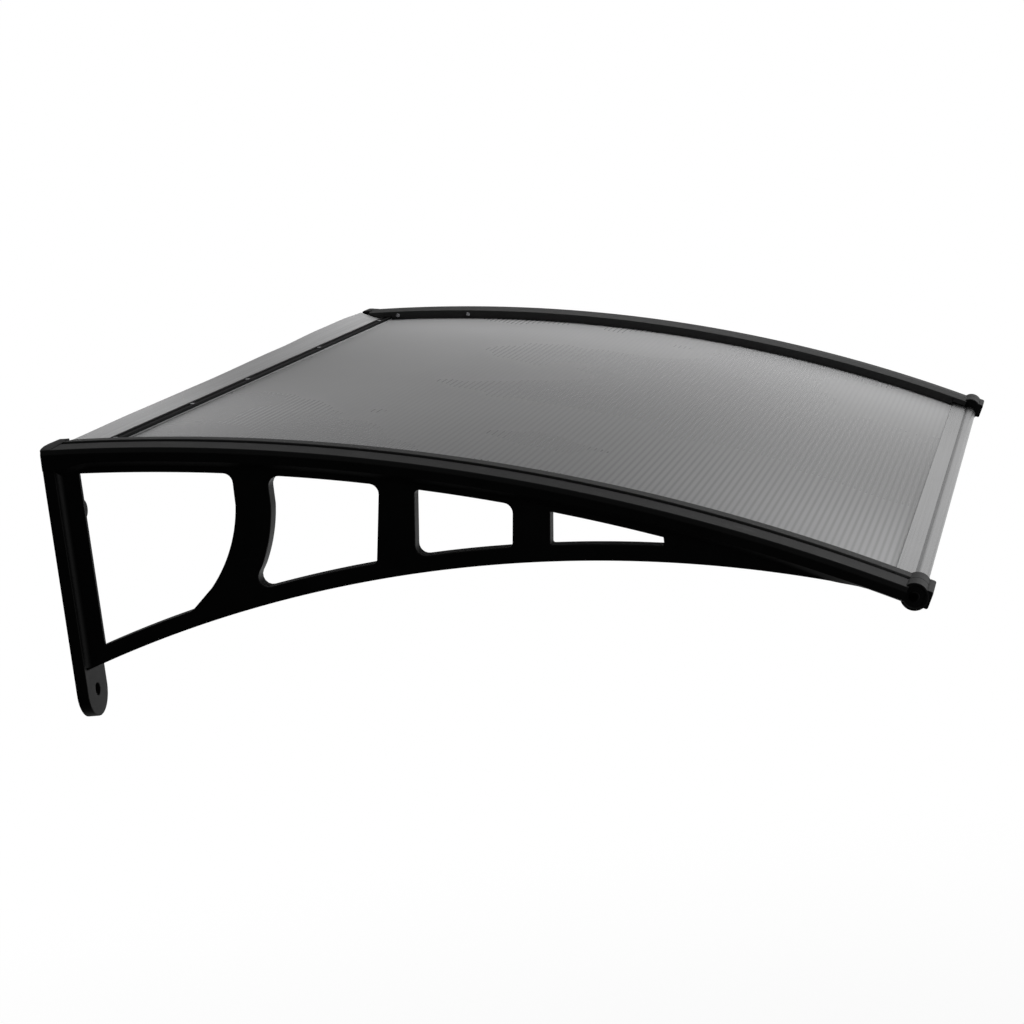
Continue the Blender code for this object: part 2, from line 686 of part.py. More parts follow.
def front_profile(finish):
    """Extrusion that takes the sheet's front edge: two flanges, a slot and a round tube."""
    middle = (TUBE_AHEAD, -TUBE_DROP)
    under = -SHEET_THICKNESS - GAP
    low = under - PROFILE_WALL
    top_angle = pi - asin((FLANGE_FRONT_TOP + TUBE_DROP - TUBE_TOP_STEP) / TUBE_RADIUS)
    low_angle = -pi - asin((low + TUBE_DROP - TUBE_LOW_STEP) / TUBE_RADIUS)
    tube = arc(middle, TUBE_RADIUS, top_angle, low_angle, 22)
    corners = [(-FLANGE_REACH, GAP), (-FLANGE_REACH, FLANGE_TOP)]
    corners += [(tube[0][0] - TUBE_TOP_STEP, FLANGE_FRONT_TOP), *tube]
    corners += [(tube[-1][0] - TUBE_LOW_STEP, low), (-LOWER_FLANGE_REACH, low)]
    corners += [(-LOWER_FLANGE_REACH, under), (GAP, under), (GAP, GAP)]
    half = HALF - NOSE_INNER - 2 * GAP
    body = prism("front_profile", [front(a, h) for a, h in corners], -half, half, finish)
    bore = lathe(
        "tube_bore_cutter", [(0.0, TUBE_BORE), (WIDTH, TUBE_BORE)],
        (-HALF, *front(*middle)), (1, 0, 0), sides=20,
    )
    combine(body, bore, "DIFFERENCE")
    body.data.shade_smooth()
    body.data.set_sharp_from_angle(angle=0.5)
    return body


def through_sheet():
    """Heights between which a hole passes the sheet and what lies on it."""
    return -SHEET_THICKNESS - CUT_PAST, CUT_PAST


def rail_hole(name, x):
    radius = RAIL_SHANK_RADIUS + SCREW_CLEARANCE
    along = rail_screw_along()
    profile = [(height, radius) for height in through_sheet()]
    return lathe(name, profile, (x, *arch(along, 0)), up_at(along), sides=12)


def rail_screw_places():
    return [-RAIL_HALF + 2 * RAIL_HALF * share for share in RAIL_SCREW_SHARES]


def rail_screw_along():
    """Middle of the flute nearest the rail's centre line."""
    flute = round((RAIL_CENTRE - SHEET_REAR) / flute_pitch() - 0.5)
    return SHEET_REAR + (flute + 0.5) * flute_pitch()


def rear_rail(finish):
    """Shallow channel across the sheet: a floor between two lips."""
    centre = rail_screw_along()
    base = 2 * GAP + SEAL_THICKNESS
    inner = RAIL_WIDTH / 2 - REAR_RAIL_LIP
    section = [
        (-RAIL_WIDTH / 2, base), (-RAIL_WIDTH / 2, base + REAR_RAIL_THICKNESS),
        (-inner, base + REAR_RAIL_THICKNESS), (-inner, base + REAR_RAIL_FLOOR),
        (inner, base + REAR_RAIL_FLOOR), (inner, base + REAR_RAIL_THICKNESS),
        (RAIL_WIDTH / 2, base + REAR_RAIL_THICKNESS), (RAIL_WIDTH / 2, base),
    ]
    outline = [arch(centre + along, height) for along, height in section]
    body = prism("rear_rail", outline, -RAIL_HALF, RAIL_HALF, finish)
    for number, x in enumerate(rail_screw_places(), 1):
        combine(body, rail_hole(f"rail_screw_hole_{number}", x), "DIFFERENCE")
    return body


def seal_height(x):
    """Height of the seal's wall edge at a place along the wall, smooth between its points."""
    along = (x + RAIL_HALF) / (2 * RAIL_HALF)
    points = list(zip(SEAL_BOW_SHARES, SEAL_BOW_HEIGHTS))
    for (start, low), (end, high) in zip(points, points[1:]):
        if along <= end:
            break
    share = min(1.0, max(0.0, (along - start) / (end - start)))
    return low + (high - low) * share * share * (3 - 2 * share)


def seal_point(x, out):
    """(y, z) of the seal's under side: flat under the rear rail, then rising to the wall."""
    flat_end = rail_screw_along() - RAIL_WIDTH / 2
    start = arch_z(flat_end, GAP)
    if out >= flat_end:
        return -out, arch_z(out, GAP)
    rise = seal_height(x) - SEAL_THICKNESS - start
    share = 1 - out / flat_end
    return -out, start + rise * share ** SEAL_CURVE


def wall_seal(finish):
    """Thin strip clamped under the rear rail, bowed up to meet the wall."""
    rail = rail_screw_along()
    flat_end = rail - RAIL_WIDTH / 2
    outs = [0.0, flat_end / 3, flat_end * 2 / 3, flat_end, rail + RAIL_WIDTH / 2]
    rings = []
    for x in spaced(-RAIL_HALF, RAIL_HALF, SEAL_COLUMN):
        low = [(x, *seal_point(x, out)) for out in outs]
        high = [(x, y, z + SEAL_THICKNESS) for _, y, z in reversed(low)]
        rings.append(low + high)
    body = add_object("wall_seal", loft(rings), finish)
    for number, x in enumerate(rail_screw_places(), 1):
        combine(body, rail_hole(f"seal_hole_{number}", x), "DIFFERENCE")
    return body


def pan_screw(name, place, direction, head_radius, head_height, shank_radius, reach, finish):
    """Pan-head screw: its head stands behind the seat and its shank runs in direction."""
    profile = [(-head_height * up, head_radius * out) for up, out in PAN_HEAD_SHARES]
    profile += [(0.0, shank_radius), (reach - shank_radius, shank_radius)]
    profile.append((reach, shank_radius * TIP_SHARE))
    return lathe(name, profile, place, direction, finish, sides=12)


def add_screws(finish, nose_finish):
    for side in SIDES:
        for number, along in enumerate(clamp_screw_places(), 1):
            seat = LEDGE_TOP - LEDGE_THICKNESS - GAP
            place = (side.x(CLAMP_SCREW_INSET), *arch(along, seat))
            pan_screw(f"{side.name}_clamp_screw_{number}", place, up_at(along), CLAMP_HEAD_RADIUS,
                      CLAMP_HEAD_HEIGHT, CLAMP_SHANK_RADIUS, CLAMP_REACH - seat, finish)
        for number, out in enumerate(SIDE_SCREWS, 1):
            along = (asin((out + ARCH_CENTRE_Y) / ARCH_RADIUS) - ARCH_START) * ARCH_RADIUS
            place = (side.x(STRIP_INNER + GAP), *arch(along, SIDE_SCREW_RISE))
            pan_screw(f"{side.name}_side_screw_{number}", place, (side.sign, 0, 0), SIDE_HEAD_RADIUS,
                      SIDE_HEAD_HEIGHT, SIDE_SHANK_RADIUS,
                      STRIP_INNER - SHOULDER_WIDTH + SIDE_REACH, finish)
        place = (side.x(WEB_INSET - GAP), *front(NOSE_AHEAD, NOSE_RISE))
        pan_screw(f"{side.name}_nose_screw", place, (-side.sign, 0, 0), NOSE_SCREW_HEAD,
                  NOSE_SCREW_PROUD, NOSE_SHANK_RADIUS, NOSE_SCREW_LENGTH, nose_finish)
    along = rail_screw_along()
    seat = 3 * GAP + SEAL_THICKNESS + REAR_RAIL_FLOOR
    for number, x in enumerate(rail_screw_places(), 1):
        place = (x, *arch(along, seat))
        down = tuple(-value for value in up_at(along))
        pan_screw(f"rail_screw_{number}", place, down, RAIL_HEAD_RADIUS, RAIL_HEAD_HEIGHT,
                  RAIL_SHANK_RADIUS, seat + SHEET_THICKNESS + RAIL_SCREW_TIP, finish)


SIDES = (Side("left", -1), Side("right", 1))


def main():
    for old in list(bpy.data.objects):
        bpy.data.objects.remove(old, do_unlink=True)
    black = material("black_moulding", (0.012, 0.012, 0.013), 0.38)
    clear = material("grey_polycarbonate", (0.16, 0.16, 0.165), 0.22, alpha=0.85)
    silver = material("satin_aluminium", (0.62, 0.62, 0.63), 0.34, 1.0)
    rail = material("black_rail", (0.03, 0.03, 0.032), 0.4, 0.6)
    seal = material("grey_seal", (0.22, 0.22, 0.225), 0.3)
    zinc = material("zinc_screw", (0.55, 0.55, 0.57), 0.3, 1.0)
    dark = material("black_screw", (0.03, 0.03, 0.03), 0.35, 0.8)
    for side in SIDES:
        bracket(side, black)
        clamp_strip(side, black)
    roof_sheet(clear)
    front_profile(silver)
    rear_rail(rail)
    wall_seal(seal)
    add_screws(zinc, dark)


main()
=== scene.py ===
"""Looks of the door canopy: the finish of every surface, the stage and the camera.

X runs along the wall, the wall is the plane Y = 0 and the canopy stands out towards -Y.
Z = 0 is the sheet's top face at the wall. Heights along the arch are counted square to it,
from the sheet's top face, and widths on a bracket are counted inwards from its outer face.
"""

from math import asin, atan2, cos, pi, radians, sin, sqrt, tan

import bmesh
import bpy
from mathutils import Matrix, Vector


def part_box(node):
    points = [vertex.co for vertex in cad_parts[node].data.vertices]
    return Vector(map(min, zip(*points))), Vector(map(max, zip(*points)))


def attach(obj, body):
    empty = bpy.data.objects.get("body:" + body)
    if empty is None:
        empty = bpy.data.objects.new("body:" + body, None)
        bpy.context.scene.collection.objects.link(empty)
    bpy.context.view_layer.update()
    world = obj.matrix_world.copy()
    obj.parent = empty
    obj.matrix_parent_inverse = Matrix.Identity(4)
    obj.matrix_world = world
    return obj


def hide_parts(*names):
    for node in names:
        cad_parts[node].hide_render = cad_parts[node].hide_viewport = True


bl_info = {
    "name": "Door Canopy",
    "version": (1, 0, 0),
    "blender": (4, 5, 0),
    "location": "3D View > Sidebar > Canopy",
    "description": "Builds an arched twin-wall canopy on two moulded wall brackets",
    "category": "Add Mesh",
}

from bpy.props import FloatProperty, FloatVectorProperty, IntProperty, PointerProperty
from mathutils import Matrix, Quaternion, Vector

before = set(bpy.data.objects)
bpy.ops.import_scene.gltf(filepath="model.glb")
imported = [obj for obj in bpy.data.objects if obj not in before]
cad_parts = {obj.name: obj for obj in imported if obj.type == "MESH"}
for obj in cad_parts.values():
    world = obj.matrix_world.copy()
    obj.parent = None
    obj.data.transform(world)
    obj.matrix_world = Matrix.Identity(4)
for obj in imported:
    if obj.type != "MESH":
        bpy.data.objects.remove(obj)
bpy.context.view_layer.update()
ROOT = "root"

# Outer faces of the brackets and lowest point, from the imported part
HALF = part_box("right_bracket")[1].x
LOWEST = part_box("right_bracket")[0].z
GAP = 0.0003
OVERLAP = 0.001

# Arch of the sheet's top face: its centre stands behind the wall plane
ARCH_RADIUS = 1.8822
ARCH_CENTRE_Y = 0.072
ARCH_CENTRE_Z = -sqrt(ARCH_RADIUS ** 2 - ARCH_CENTRE_Y ** 2)
ARCH_START = asin(ARCH_CENTRE_Y / ARCH_RADIUS)
ARCH_STEP = 0.008
SHEET_FRONT = 0.784

# Twin-wall sheet, its flutes as they are seen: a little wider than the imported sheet's
SHEET_THICKNESS = 0.005
SHEET_REAR = 0.0106
FLUTES = 124
FLUTE_WALL = 0.0004

# Dark line of a flute's wall: half its width, then where it grows clear along the arch and
# where it fades across the sheet, and by how much. The line is the real inner wall; its fading
# near the rail and towards the far side is painted light, for how the light shows the walls
RIB_MARK = 0.0024
RIBS_CLEAR = (0.07, 0.52)
RIBS_FADE = (-0.4, 0.5)
RIBS_FADED = 0.68

# Rail of a bracket
RAIL_HEIGHT = 0.0095
SHOULDER_RISE = 0.0011
SHOULDER_WIDTH = 0.0295
RAIL_FACE_DEPTH = 0.003
RAIL_CHAMFER = 0.006
FACE_DRAFT = 0.0016
DRAFT_HEIGHT = 0.0045
LEDGE_WIDTH = 0.055
LEDGE_THICKNESS = 0.0045
LEDGE_TOP = -SHEET_THICKNESS - 2 * GAP
REAR_BLOCK_WIDTH = 0.052
REAR_BLOCK_DEPTH = 0.0097
REAR_ROUND = 0.004
REAR_FALL = 0.0015
STRIP_REAR_ROUND = 0.002
CORNER_REACH = 0.050
CORNER_START = 0.022
CORNER_RADIUS = 0.068
GROOVE_ROUND = 0.0013

# End cap of a rail: widths, their heights at the wall and their heights where the rail starts
CAP_WIDTHS = (FACE_DRAFT, 0.006, 0.012, 0.020, 0.030, 0.047, REAR_BLOCK_WIDTH)
CAP_HEIGHTS = (RAIL_HEIGHT, 0.0108, 0.0119, 0.0126, 0.013, 0.013, 0.0121)
CAP_FRONT = (RAIL_HEIGHT, 0.0098, 0.010, 0.0103, 0.0108, 0.0122, 0.0121)

# Web of a bracket: the windows are given as distances from the wall, rear edge top and
# bottom, then front edge bottom and top
WEB_INSET = 0.006
WEB_THICKNESS = 0.016
WEB_BAND = 0.014
RIB_THICKNESS = 0.004
RIB_DEPTH = 0.032
ARM_RADIUS = 1.1604
ARM_DEPTH = 0.0147
ARM_END = 0.748
ARM_END_DEPTH = 0.0049
HEEL_ABOVE_TAB = 0.0172
CORNER_ROUND = 0.009
CORNER_CLEAR = 0.024
SMALL_ROUND = 0.004
WINDOW_2 = (0.2072, 0.1762, 0.2965, 0.3078)
WINDOW_3 = (0.3395, 0.3325, 0.4205, 0.4255)
WINDOW_4_REAR = (0.4580, 0.4545)
WINDOW_4_TIP = 0.0075
WINDOW_1_BULGE = 0.1342
WINDOW_1_FRONT = 0.1745
WINDOW_1_FOOT = 0.1195
WINDOW_2_BULGE = 0.148

# Wall plate, its tab and its upper boss
PLATE_WIDTH = 0.05
PLATE_THICKNESS = 0.0115
PLATE_TAPER = 0.0003
TAB_DROP = -LOWEST - PLATE_WIDTH / 2
TAB_HOLE_RADIUS = 0.00575
FILLET_RADIUS = 0.0061
BOSS_DROP = 0.0515
BOSS_OFFSET = 0.006
BOSS_RADIUS = 0.0088
BOSS_HEIGHT = 0.0108
BOSS_HOLE_RADIUS = 0.0035

# Nose of a bracket, ahead of and above the sheet's front edge
NOSE_AHEAD = 0.0085
NOSE_RISE = 0.0026
NOSE_RADIUS = 0.0123
NOSE_INNER = 0.055
NOSE_GROOVE = 0.0007
NOSE_RECESS = 0.0008
NOSE_RIM = 0.0024
BAR_FRONT = 0.0226
BAR_THICKNESS = 0.006
BAR_TOP = 0.012
BAR_BOTTOM = 0.004
BAR_ROUND = 0.0018

# Clamp strip over the sheet's edge
STRIP_TOP = 0.012
STRIP_INNER_TOP = 0.0103
STRIP_STEP = 0.0342
STRIP_INNER = 0.0597
GROOVE_DEPTH = 0.0025

# Front profile
FLANGE_REACH = 0.014
LOWER_FLANGE_REACH = 0.0105
FLANGE_TOP = 0.0032
FLANGE_FRONT_TOP = 0.0042
PROFILE_WALL = 0.0016
TUBE_RADIUS = 0.0083
TUBE_BORE = 0.0065
TUBE_AHEAD = 0.0088
TUBE_DROP = 0.0028
TUBE_TOP_STEP = 0.0006
TUBE_LOW_STEP = 0.0009

# Rear rail and wall seal, the rail as it is seen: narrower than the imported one
RAIL_CENTRE = 0.03456
RAIL_WIDTH = 0.012
REAR_RAIL_THICKNESS = 0.0026
REAR_RAIL_LIP = 0.0034
REAR_RAIL_FLOOR = 0.0013
SEAL_THICKNESS = 0.0012
SEAL_CURVE = 1.15
SEAL_BOW_HEIGHTS = (0.0068, 0.0081, 0.0084, 0.0105, 0.0127, 0.0131, 0.0118)
SEAL_BOW_SHARES = (0.0, 0.194, 0.38, 0.648, 0.815, 0.917, 1.0)
RAIL_HALF = HALF - STRIP_INNER - GAP

# Screws: radius and height of the head, radius of the shank and its reach
CLAMP_SCREW = (0.004, 0.0026, 0.0019, 0.012)
SIDE_SCREW = (0.0025, 0.0014, 0.0014, 0.03)
RAIL_SCREW = (0.0026, 0.0011, 0.0013, 0.009)
NOSE_SCREW = (0.0045, 0.0012, 0.0018, 0.028)
SCREWS_PER_LEDGE = 4
CLAMP_SCREW_INSET = 0.0445
SIDE_SCREW_RISE = 0.0052
SIDE_SCREWS = (0.0485, 0.141)
RAIL_SCREW_SHARES = (0.04, 0.252, 0.429, 0.695, 0.96)

# Camera, as it stood for the picture: a long lens a little above the sheet's near side
CAMERA_PLACE = (-2.91548, -0.95299, 0.28402)
CAMERA_AZIMUTH = -77.169
CAMERA_ELEVATION = 8.8438
CAMERA_ROLL = -7.274
CAMERA_LENS = 97.03
CAMERA_SENSOR = 36.0

# Soft lights by their settings: size, place and target
LAMPS = {
    "key": (1.05, (0.85, -0.52, 0.22), (0.1, -0.4, 0.0)),
    "front": (0.4, (-0.5, -0.95, -0.04), (0.0, -0.6, -0.05)),
    "rear": (0.4, (-0.38, 0.11, 0.16), (-0.4, -0.1, 0.0)),
}
FLOOR_RADIUS = 30.0
WHITE = (1.0, 1.0, 1.0, 1.0)


def length_setting(name, description, default, low, high):
    return FloatProperty(
        name=name, description=description, default=default, min=low, max=high,
        unit="LENGTH", precision=5,
    )


def share_setting(name, description, default):
    return FloatProperty(
        name=name, description=description, default=default, min=0.0, max=1.0, subtype="FACTOR",
    )


def power_setting(name, description, default):
    return FloatProperty(
        name=name, description=description, default=default, min=0.0, max=1000.0, unit="POWER",
    )


def colour_setting(name, description, default):
    return FloatVectorProperty(
        name=name, description=description, default=default, min=0.0, max=1.0, subtype="COLOR",
    )


def count_setting(name, description, default, low, high):
    return IntProperty(name=name, description=description, default=default, min=low, max=high)


class MouldingSettings(bpy.types.PropertyGroup):
    """Finish of the black moulded brackets and clamp strips."""

    edge: length_setting("Edge Round", "Radius of a moulding's outer edges", 0.0008, 0.0002, 0.002)
    colour: colour_setting("Colour", "Colour of the black plastic", (0.0008, 0.0008, 0.00085))
    roughness: share_setting("Roughness", "Roughness of the moulded skin", 0.5)
    grain: length_setting("Grain", "Height of the fine moulded grain", 0.00003, 0.0, 0.0005)


class SheetSettings(bpy.types.PropertyGroup):
    """Shape and finish of the twin-wall sheet."""

    sink: length_setting(
        "Rib Sink", "Depth of the sink mark over each inner wall", 0.00002, 0.0, 0.0004,
    )
    rows: count_setting("Rows per Flute", "Mesh rows across one flute", 8, 4, 16)
    colour: colour_setting("Colour", "Colour of the smoked plastic", (0.208, 0.208, 0.210))
    rib_colour: colour_setting(
        "Rib Colour", "Colour where an inner wall shows through the skin", (0.176, 0.176, 0.178),
    )
    roughness: share_setting("Roughness", "Roughness of the glossy skin", 0.27)
    body: share_setting("Body", "Share of light that one skin stops when seen square on", 0.58)


class MetalSettings(bpy.types.PropertyGroup):
    """Finish of the front profile, the rear rail and the screws."""

    profile_colour: colour_setting(
        "Profile Colour", "Colour of the satin aluminium profile", (0.30, 0.30, 0.303),
    )
    profile_roughness: share_setting(
        "Profile Roughness", "Roughness of the satin aluminium profile", 0.26,
    )
    rail_colour: colour_setting(
        "Rail Colour", "Colour of the dark rear rail", (0.0015, 0.0015, 0.0016),
    )
    screw_colour: colour_setting(
        "Screw Colour", "Colour of the bright zinc screws", (0.60, 0.60, 0.62),
    )
    nose_screw_colour: colour_setting(
        "Nose Screw Colour", "Colour of the blackened screws in the noses", (0.015, 0.015, 0.015),
    )


class SealSettings(bpy.types.PropertyGroup):
    """Shape and finish of the strip between the rear rail and the wall."""

    columns: count_setting("Columns", "Mesh columns along the strip", 72, 12, 200)
    colour: colour_setting("Colour", "Colour of the smoked strip", (0.258, 0.258, 0.26))
    roughness: share_setting("Roughness", "Roughness of the glossy strip", 0.2)


class StageSettings(bpy.types.PropertyGroup):
    """Floor, light and surroundings."""

    floor_drop: length_setting(
        "Floor Drop", "How far the floor lies below the canopy's wall edge", 2.2, 0.5, 4.0,
    )
    fill: share_setting("Fill", "Strength of the even light from all round", 0.19)
    key: power_setting("Key Light", "Power of the soft light over the far side", 20.0)
    front: power_setting("Front Light", "Power of the soft light before the front edge", 1.6)
    rear: power_setting("Rear Light", "Power of the soft light over the wall edge", 1.5)


class Side:
    """Left or right bracket: turns a width counted from the outer face into X."""

    def __init__(self, name, sign):
        self.name = name
        self.sign = sign

    def x(self, width):
        return self.sign * (HALF - width)


SIDES = (Side("left", -1), Side("right", 1))


class Value:
    """A number socket in a node tree. Its operators add Math nodes."""

    def __init__(self, nodes, socket):
        self.nodes = nodes
        self.socket = socket

    def maths(self, operation, *others):
        inputs = dict(enumerate((self, *others)))
        node = self.nodes.add("ShaderNodeMath", inputs, operation=operation)
        return Value(self.nodes, node.outputs[0])

    def __add__(self, other):
        return self.maths("ADD", other)

    def __mul__(self, other):
        return self.maths("MULTIPLY", other)

    def __sub__(self, other):
        return self.maths("SUBTRACT", other)

    def __truediv__(self, other):
        return self.maths("DIVIDE", other)

    def __pow__(self, other):
        return self.maths("POWER", other)

    def __rsub__(self, other):
        return (self * -1.0) + other

    def __neg__(self):
        return self * -1.0

    __radd__ = __add__
    __rmul__ = __mul__

    def __abs__(self):
        return self.maths("ABSOLUTE")

    def fract(self):
        return self.maths("FRACT")

    def sin(self):
        return self.maths("SINE")

    def cos(self):
        return self.maths("COSINE")

    def step(self, start, end):
        """0 before start and 1 after end, smooth between them; start may be the larger."""
        inputs = {0: self, 1: start, 2: end, 3: 0.0, 4: 1.0}
        node = self.nodes.add("ShaderNodeMapRange", inputs, interpolation_type="SMOOTHSTEP")
        return Value(self.nodes, node.outputs[0])

    def peak(self, centre, spread):
        """1 at the centre, falling off like a bell."""
        away = (self - centre) / spread
        return (-(away * away)).maths("EXPONENT")


class Nodes:
    """A node tree that is written as expressions."""

    def __init__(self, tree):
        self.tree = tree

    def add(self, kind, inputs=(), **settings):
        """A node, its settings and the values or links of its sockets, by name or number."""
        made = self.tree.nodes.new(kind)
        for name, value in settings.items():
            setattr(made, name, value)
        self.fill(made, inputs)
        return made

    def fill(self, node, inputs):
        for key, value in dict(inputs).items():
            self.feed(node.inputs[key], value)

    def feed(self, socket, value):
        if isinstance(value, Value):
            self.tree.links.new(value.socket, socket)
        elif isinstance(value, bpy.types.NodeSocket):
            self.tree.links.new(value, socket)
        else:
            socket.default_value = value

    def split(self, vector):
        """The three numbers of a vector socket."""
        node = self.add("ShaderNodeSeparateXYZ", {0: vector})
        return [Value(self, socket) for socket in node.outputs]

    def join(self, x, y, z):
        return self.add("ShaderNodeCombineXYZ", {0: x, 1: y, 2: z}).outputs[0]

    def noise(self, vector, scale, detail=2.0):
        inputs = {"Vector": vector, "Scale": scale, "Detail": detail}
        return Value(self, self.add("ShaderNodeTexNoise", inputs).outputs[0])

    def mix(self, share, first, second):
        """A colour between two, by share."""
        inputs = {0: share, 6: first, 7: second}
        return self.add("ShaderNodeMix", inputs, data_type="RGBA").outputs[2]

    def shades(self, share, rgb, darker, lighter):
        """One colour, from a darker to a lighter part of it, by share."""
        return self.mix(share, colour(rgb, darker), colour(rgb, lighter))

    def stretched(self, vector, scale):
        node = self.add("ShaderNodeMapping", {"Vector": vector, "Scale": scale})
        return node.outputs[0]

    def bump(self, height, distance, strength=1.0, **under):
        """A normal from a height. Normal=... names one that it lies on."""
        inputs = {"Height": height, "Distance": distance, "Strength": strength, **under}
        return self.add("ShaderNodeBump", inputs).outputs[0]

    def facing(self):
        """0 where a surface is seen square on and 1 where it is seen edge on."""
        return Value(self, self.add("ShaderNodeLayerWeight", {"Blend": 0.5}).outputs["Facing"])

    def rays(self):
        """1 for rays that show the background as it is, and 1 for those that gloss sends."""
        path = self.add("ShaderNodeLightPath").outputs
        seen = Value(self, path["Is Camera Ray"]).maths("MAXIMUM", path["Is Transmission Ray"])
        return seen, Value(self, path["Is Glossy Ray"])


def colour(rgb, share=1.0):
    return tuple(part * share for part in rgb) + (1.0,)


def new_material(name):
    """A material with its nodes, its Principled shader and its Object coordinates."""
    made = bpy.data.materials.new(name)
    made.use_nodes = True
    nodes = Nodes(made.node_tree)
    shader = made.node_tree.nodes["Principled BSDF"]
    place = nodes.add("ShaderNodeTexCoord").outputs["Object"]
    return made, nodes, shader, place


def moulding_material(settings):
    """Satin black plastic with a fine moulded grain and faint flow marks."""
    made, nodes, shader, place = new_material("black_moulding")
    grain = nodes.noise(place, 2600.0, 3.0)
    flow = nodes.noise(nodes.stretched(place, (3.0, 14.0, 14.0)), 3.0, 3.0)
    rubbed = nodes.noise(place, 46.0, 4.0).step(0.56, 0.74)
    base = nodes.shades(flow.step(0.35, 0.7), settings.colour, 0.8, 1.35)
    nodes.fill(shader, {
        "Base Color": nodes.mix(rubbed * 0.5, base, colour(settings.colour, 1.8)),
        "Roughness": flow * 0.08 + grain * 0.05 + (settings.roughness - 0.065) - rubbed * 0.05,
        "Normal": nodes.bump(grain + flow * 3.0, settings.grain),
        "Specular IOR Level": 0.28,
    })
    return made


def arch_along(nodes, place):
    """Length along the arch from the wall, of a point in Object coordinates."""
    _, y, z = nodes.split(place)
    angle = (ARCH_CENTRE_Y - y).maths("ARCTAN2", z - ARCH_CENTRE_Z)
    return (angle - ARCH_START) * ARCH_RADIUS


def sheet_material(settings):
    """Smoked glossy polycarbonate: its inner walls show through as fine dark lines."""
    made, nodes, shader, place = new_material("grey_polycarbonate")
    along = arch_along(nodes, place)
    phase = ((along - SHEET_REAR) / flute_pitch()).fract()
    from_wall = (0.5 - abs(phase - 0.5)) * flute_pitch()
    across = nodes.split(place)[0]
    # Painted light: the rib lines grow faint near the rail and towards the far side, as light shows
    # them
    rib_lit_share = along.step(*RIBS_CLEAR) * (1.0 - across.step(*RIBS_FADE) * RIBS_FADED)
    rib = from_wall.step(RIB_MARK, 0.0) * rib_lit_share
    cloud = nodes.noise(place, 3.1, 3.0)
    dust = nodes.noise(place, 900.0, 4.0).step(0.62, 0.8)
    base = nodes.shades(cloud.step(0.3, 0.75), settings.colour, 0.95, 1.07)
    lined = nodes.mix(rib, base, colour(settings.rib_colour))
    body = nodes.facing().step(0.25, 0.8) * (1.0 - settings.body) + settings.body
    ripple = nodes.noise(nodes.stretched(place, (1.0, 3.0, 3.0)), 9.0, 2.0)
    wavy = nodes.bump(ripple, 0.0008, 0.35)
    nodes.fill(shader, {
        "Base Color": nodes.mix(dust * 0.12, lined, colour((0.25, 0.25, 0.25))),
        "Roughness": cloud * 0.05 + rib * 0.08 + dust * 0.1 + (settings.roughness - 0.02),
        "Alpha": (body + rib * 0.12).maths("MINIMUM", 1.0),
        "Normal": nodes.bump(1.0 - rib, 0.0001, 0.12, Normal=wavy),
        "Specular IOR Level": 0.07,
    })
    return made


def aluminium_material(settings):
    """Satin anodised aluminium with fine die lines along its length."""
    made, nodes, shader, place = new_material("satin_aluminium")
    lines = nodes.noise(nodes.stretched(place, (2.0, 900.0, 900.0)), 1.0, 2.0)
    cloud = nodes.noise(place, 6.0, 2.0)
    nodes.fill(shader, {
        "Base Color": nodes.shades(lines, settings.profile_colour, 0.92, 1.08),
        "Roughness": lines * 0.1 + cloud * 0.06 + (settings.profile_roughness - 0.08),
        "Normal": nodes.bump(lines, 0.00004),
        "Metallic": 1.0,
    })
    return made


def rear_rail_material(settings):
    """Dark satin paint on the rear channel."""
    made, nodes, shader, place = new_material("black_rail")
    lines = nodes.noise(nodes.stretched(place, (4.0, 700.0, 700.0)), 1.0, 3.0)
    speck = nodes.noise(place, 1400.0, 2.0)
    nodes.fill(shader, {
        "Base Color": nodes.shades(lines, settings.rail_colour, 0.7, 1.4),
        "Roughness": lines * 0.12 + speck * 0.06 + 0.4,
        "Normal": nodes.bump(speck, 0.00002),
        "Specular IOR Level": 0.04,
    })
    return made


def seal_material(settings):
    """Smoked glossy strip, softer than the sheet, with faint draw lines."""
    made, nodes, shader, place = new_material("grey_seal")
    lines = nodes.noise(nodes.stretched(place, (2.0, 260.0, 260.0)), 1.0, 2.0)
    dust = nodes.noise(place, 1100.0, 3.0).step(0.6, 0.8)
    base = nodes.shades(lines, settings.colour, 0.85, 1.2)
    ripple = nodes.noise(nodes.stretched(place, (1.0, 4.0, 4.0)), 14.0, 2.0)
    nodes.fill(shader, {
        "Base Color": nodes.mix(dust * 0.15, base, colour((0.3, 0.3, 0.3))),
        "Roughness": lines * 0.05 + dust * 0.12 + (settings.roughness - 0.03),
        "Normal": nodes.bump(ripple + lines * 0.05, 0.0008, 0.4),
        "Alpha": nodes.facing().step(0.2, 0.75) * 0.25 + 0.75,
        "IOR": 1.5,
        "Specular IOR Level": 0.28,
    })
    return made


def screw_material(name, tint, roughness):
    """Plated steel with a mottled skin."""
    made, nodes, shader, place = new_material(name)
    mottle = nodes.noise(place, 520.0, 3.0)
    nodes.fill(shader, {
        "Base Color": nodes.shades(mottle, tint, 0.8, 1.15),
        "Roughness": mottle * 0.16 + (roughness - 0.08),
        "Normal": nodes.bump(mottle, 0.00002),
        "Metallic": 1.0,
    })
    return made


def flute_pitch():
    return (SHEET_FRONT - SHEET_REAR - FLUTE_WALL) / FLUTES


def arch(along, height):
    """(y, z) at a length along the sheet's top face from the wall and a height above it."""
    angle = ARCH_START + along / ARCH_RADIUS
    radius = ARCH_RADIUS + height
    return ARCH_CENTRE_Y - radius * sin(angle), ARCH_CENTRE_Z + radius * cos(angle)


def arch_z(out, height):
    """Height of the arch at a distance out from the wall."""
    return ARCH_CENTRE_Z + sqrt((ARCH_RADIUS + height) ** 2 - (out + ARCH_CENTRE_Y) ** 2)


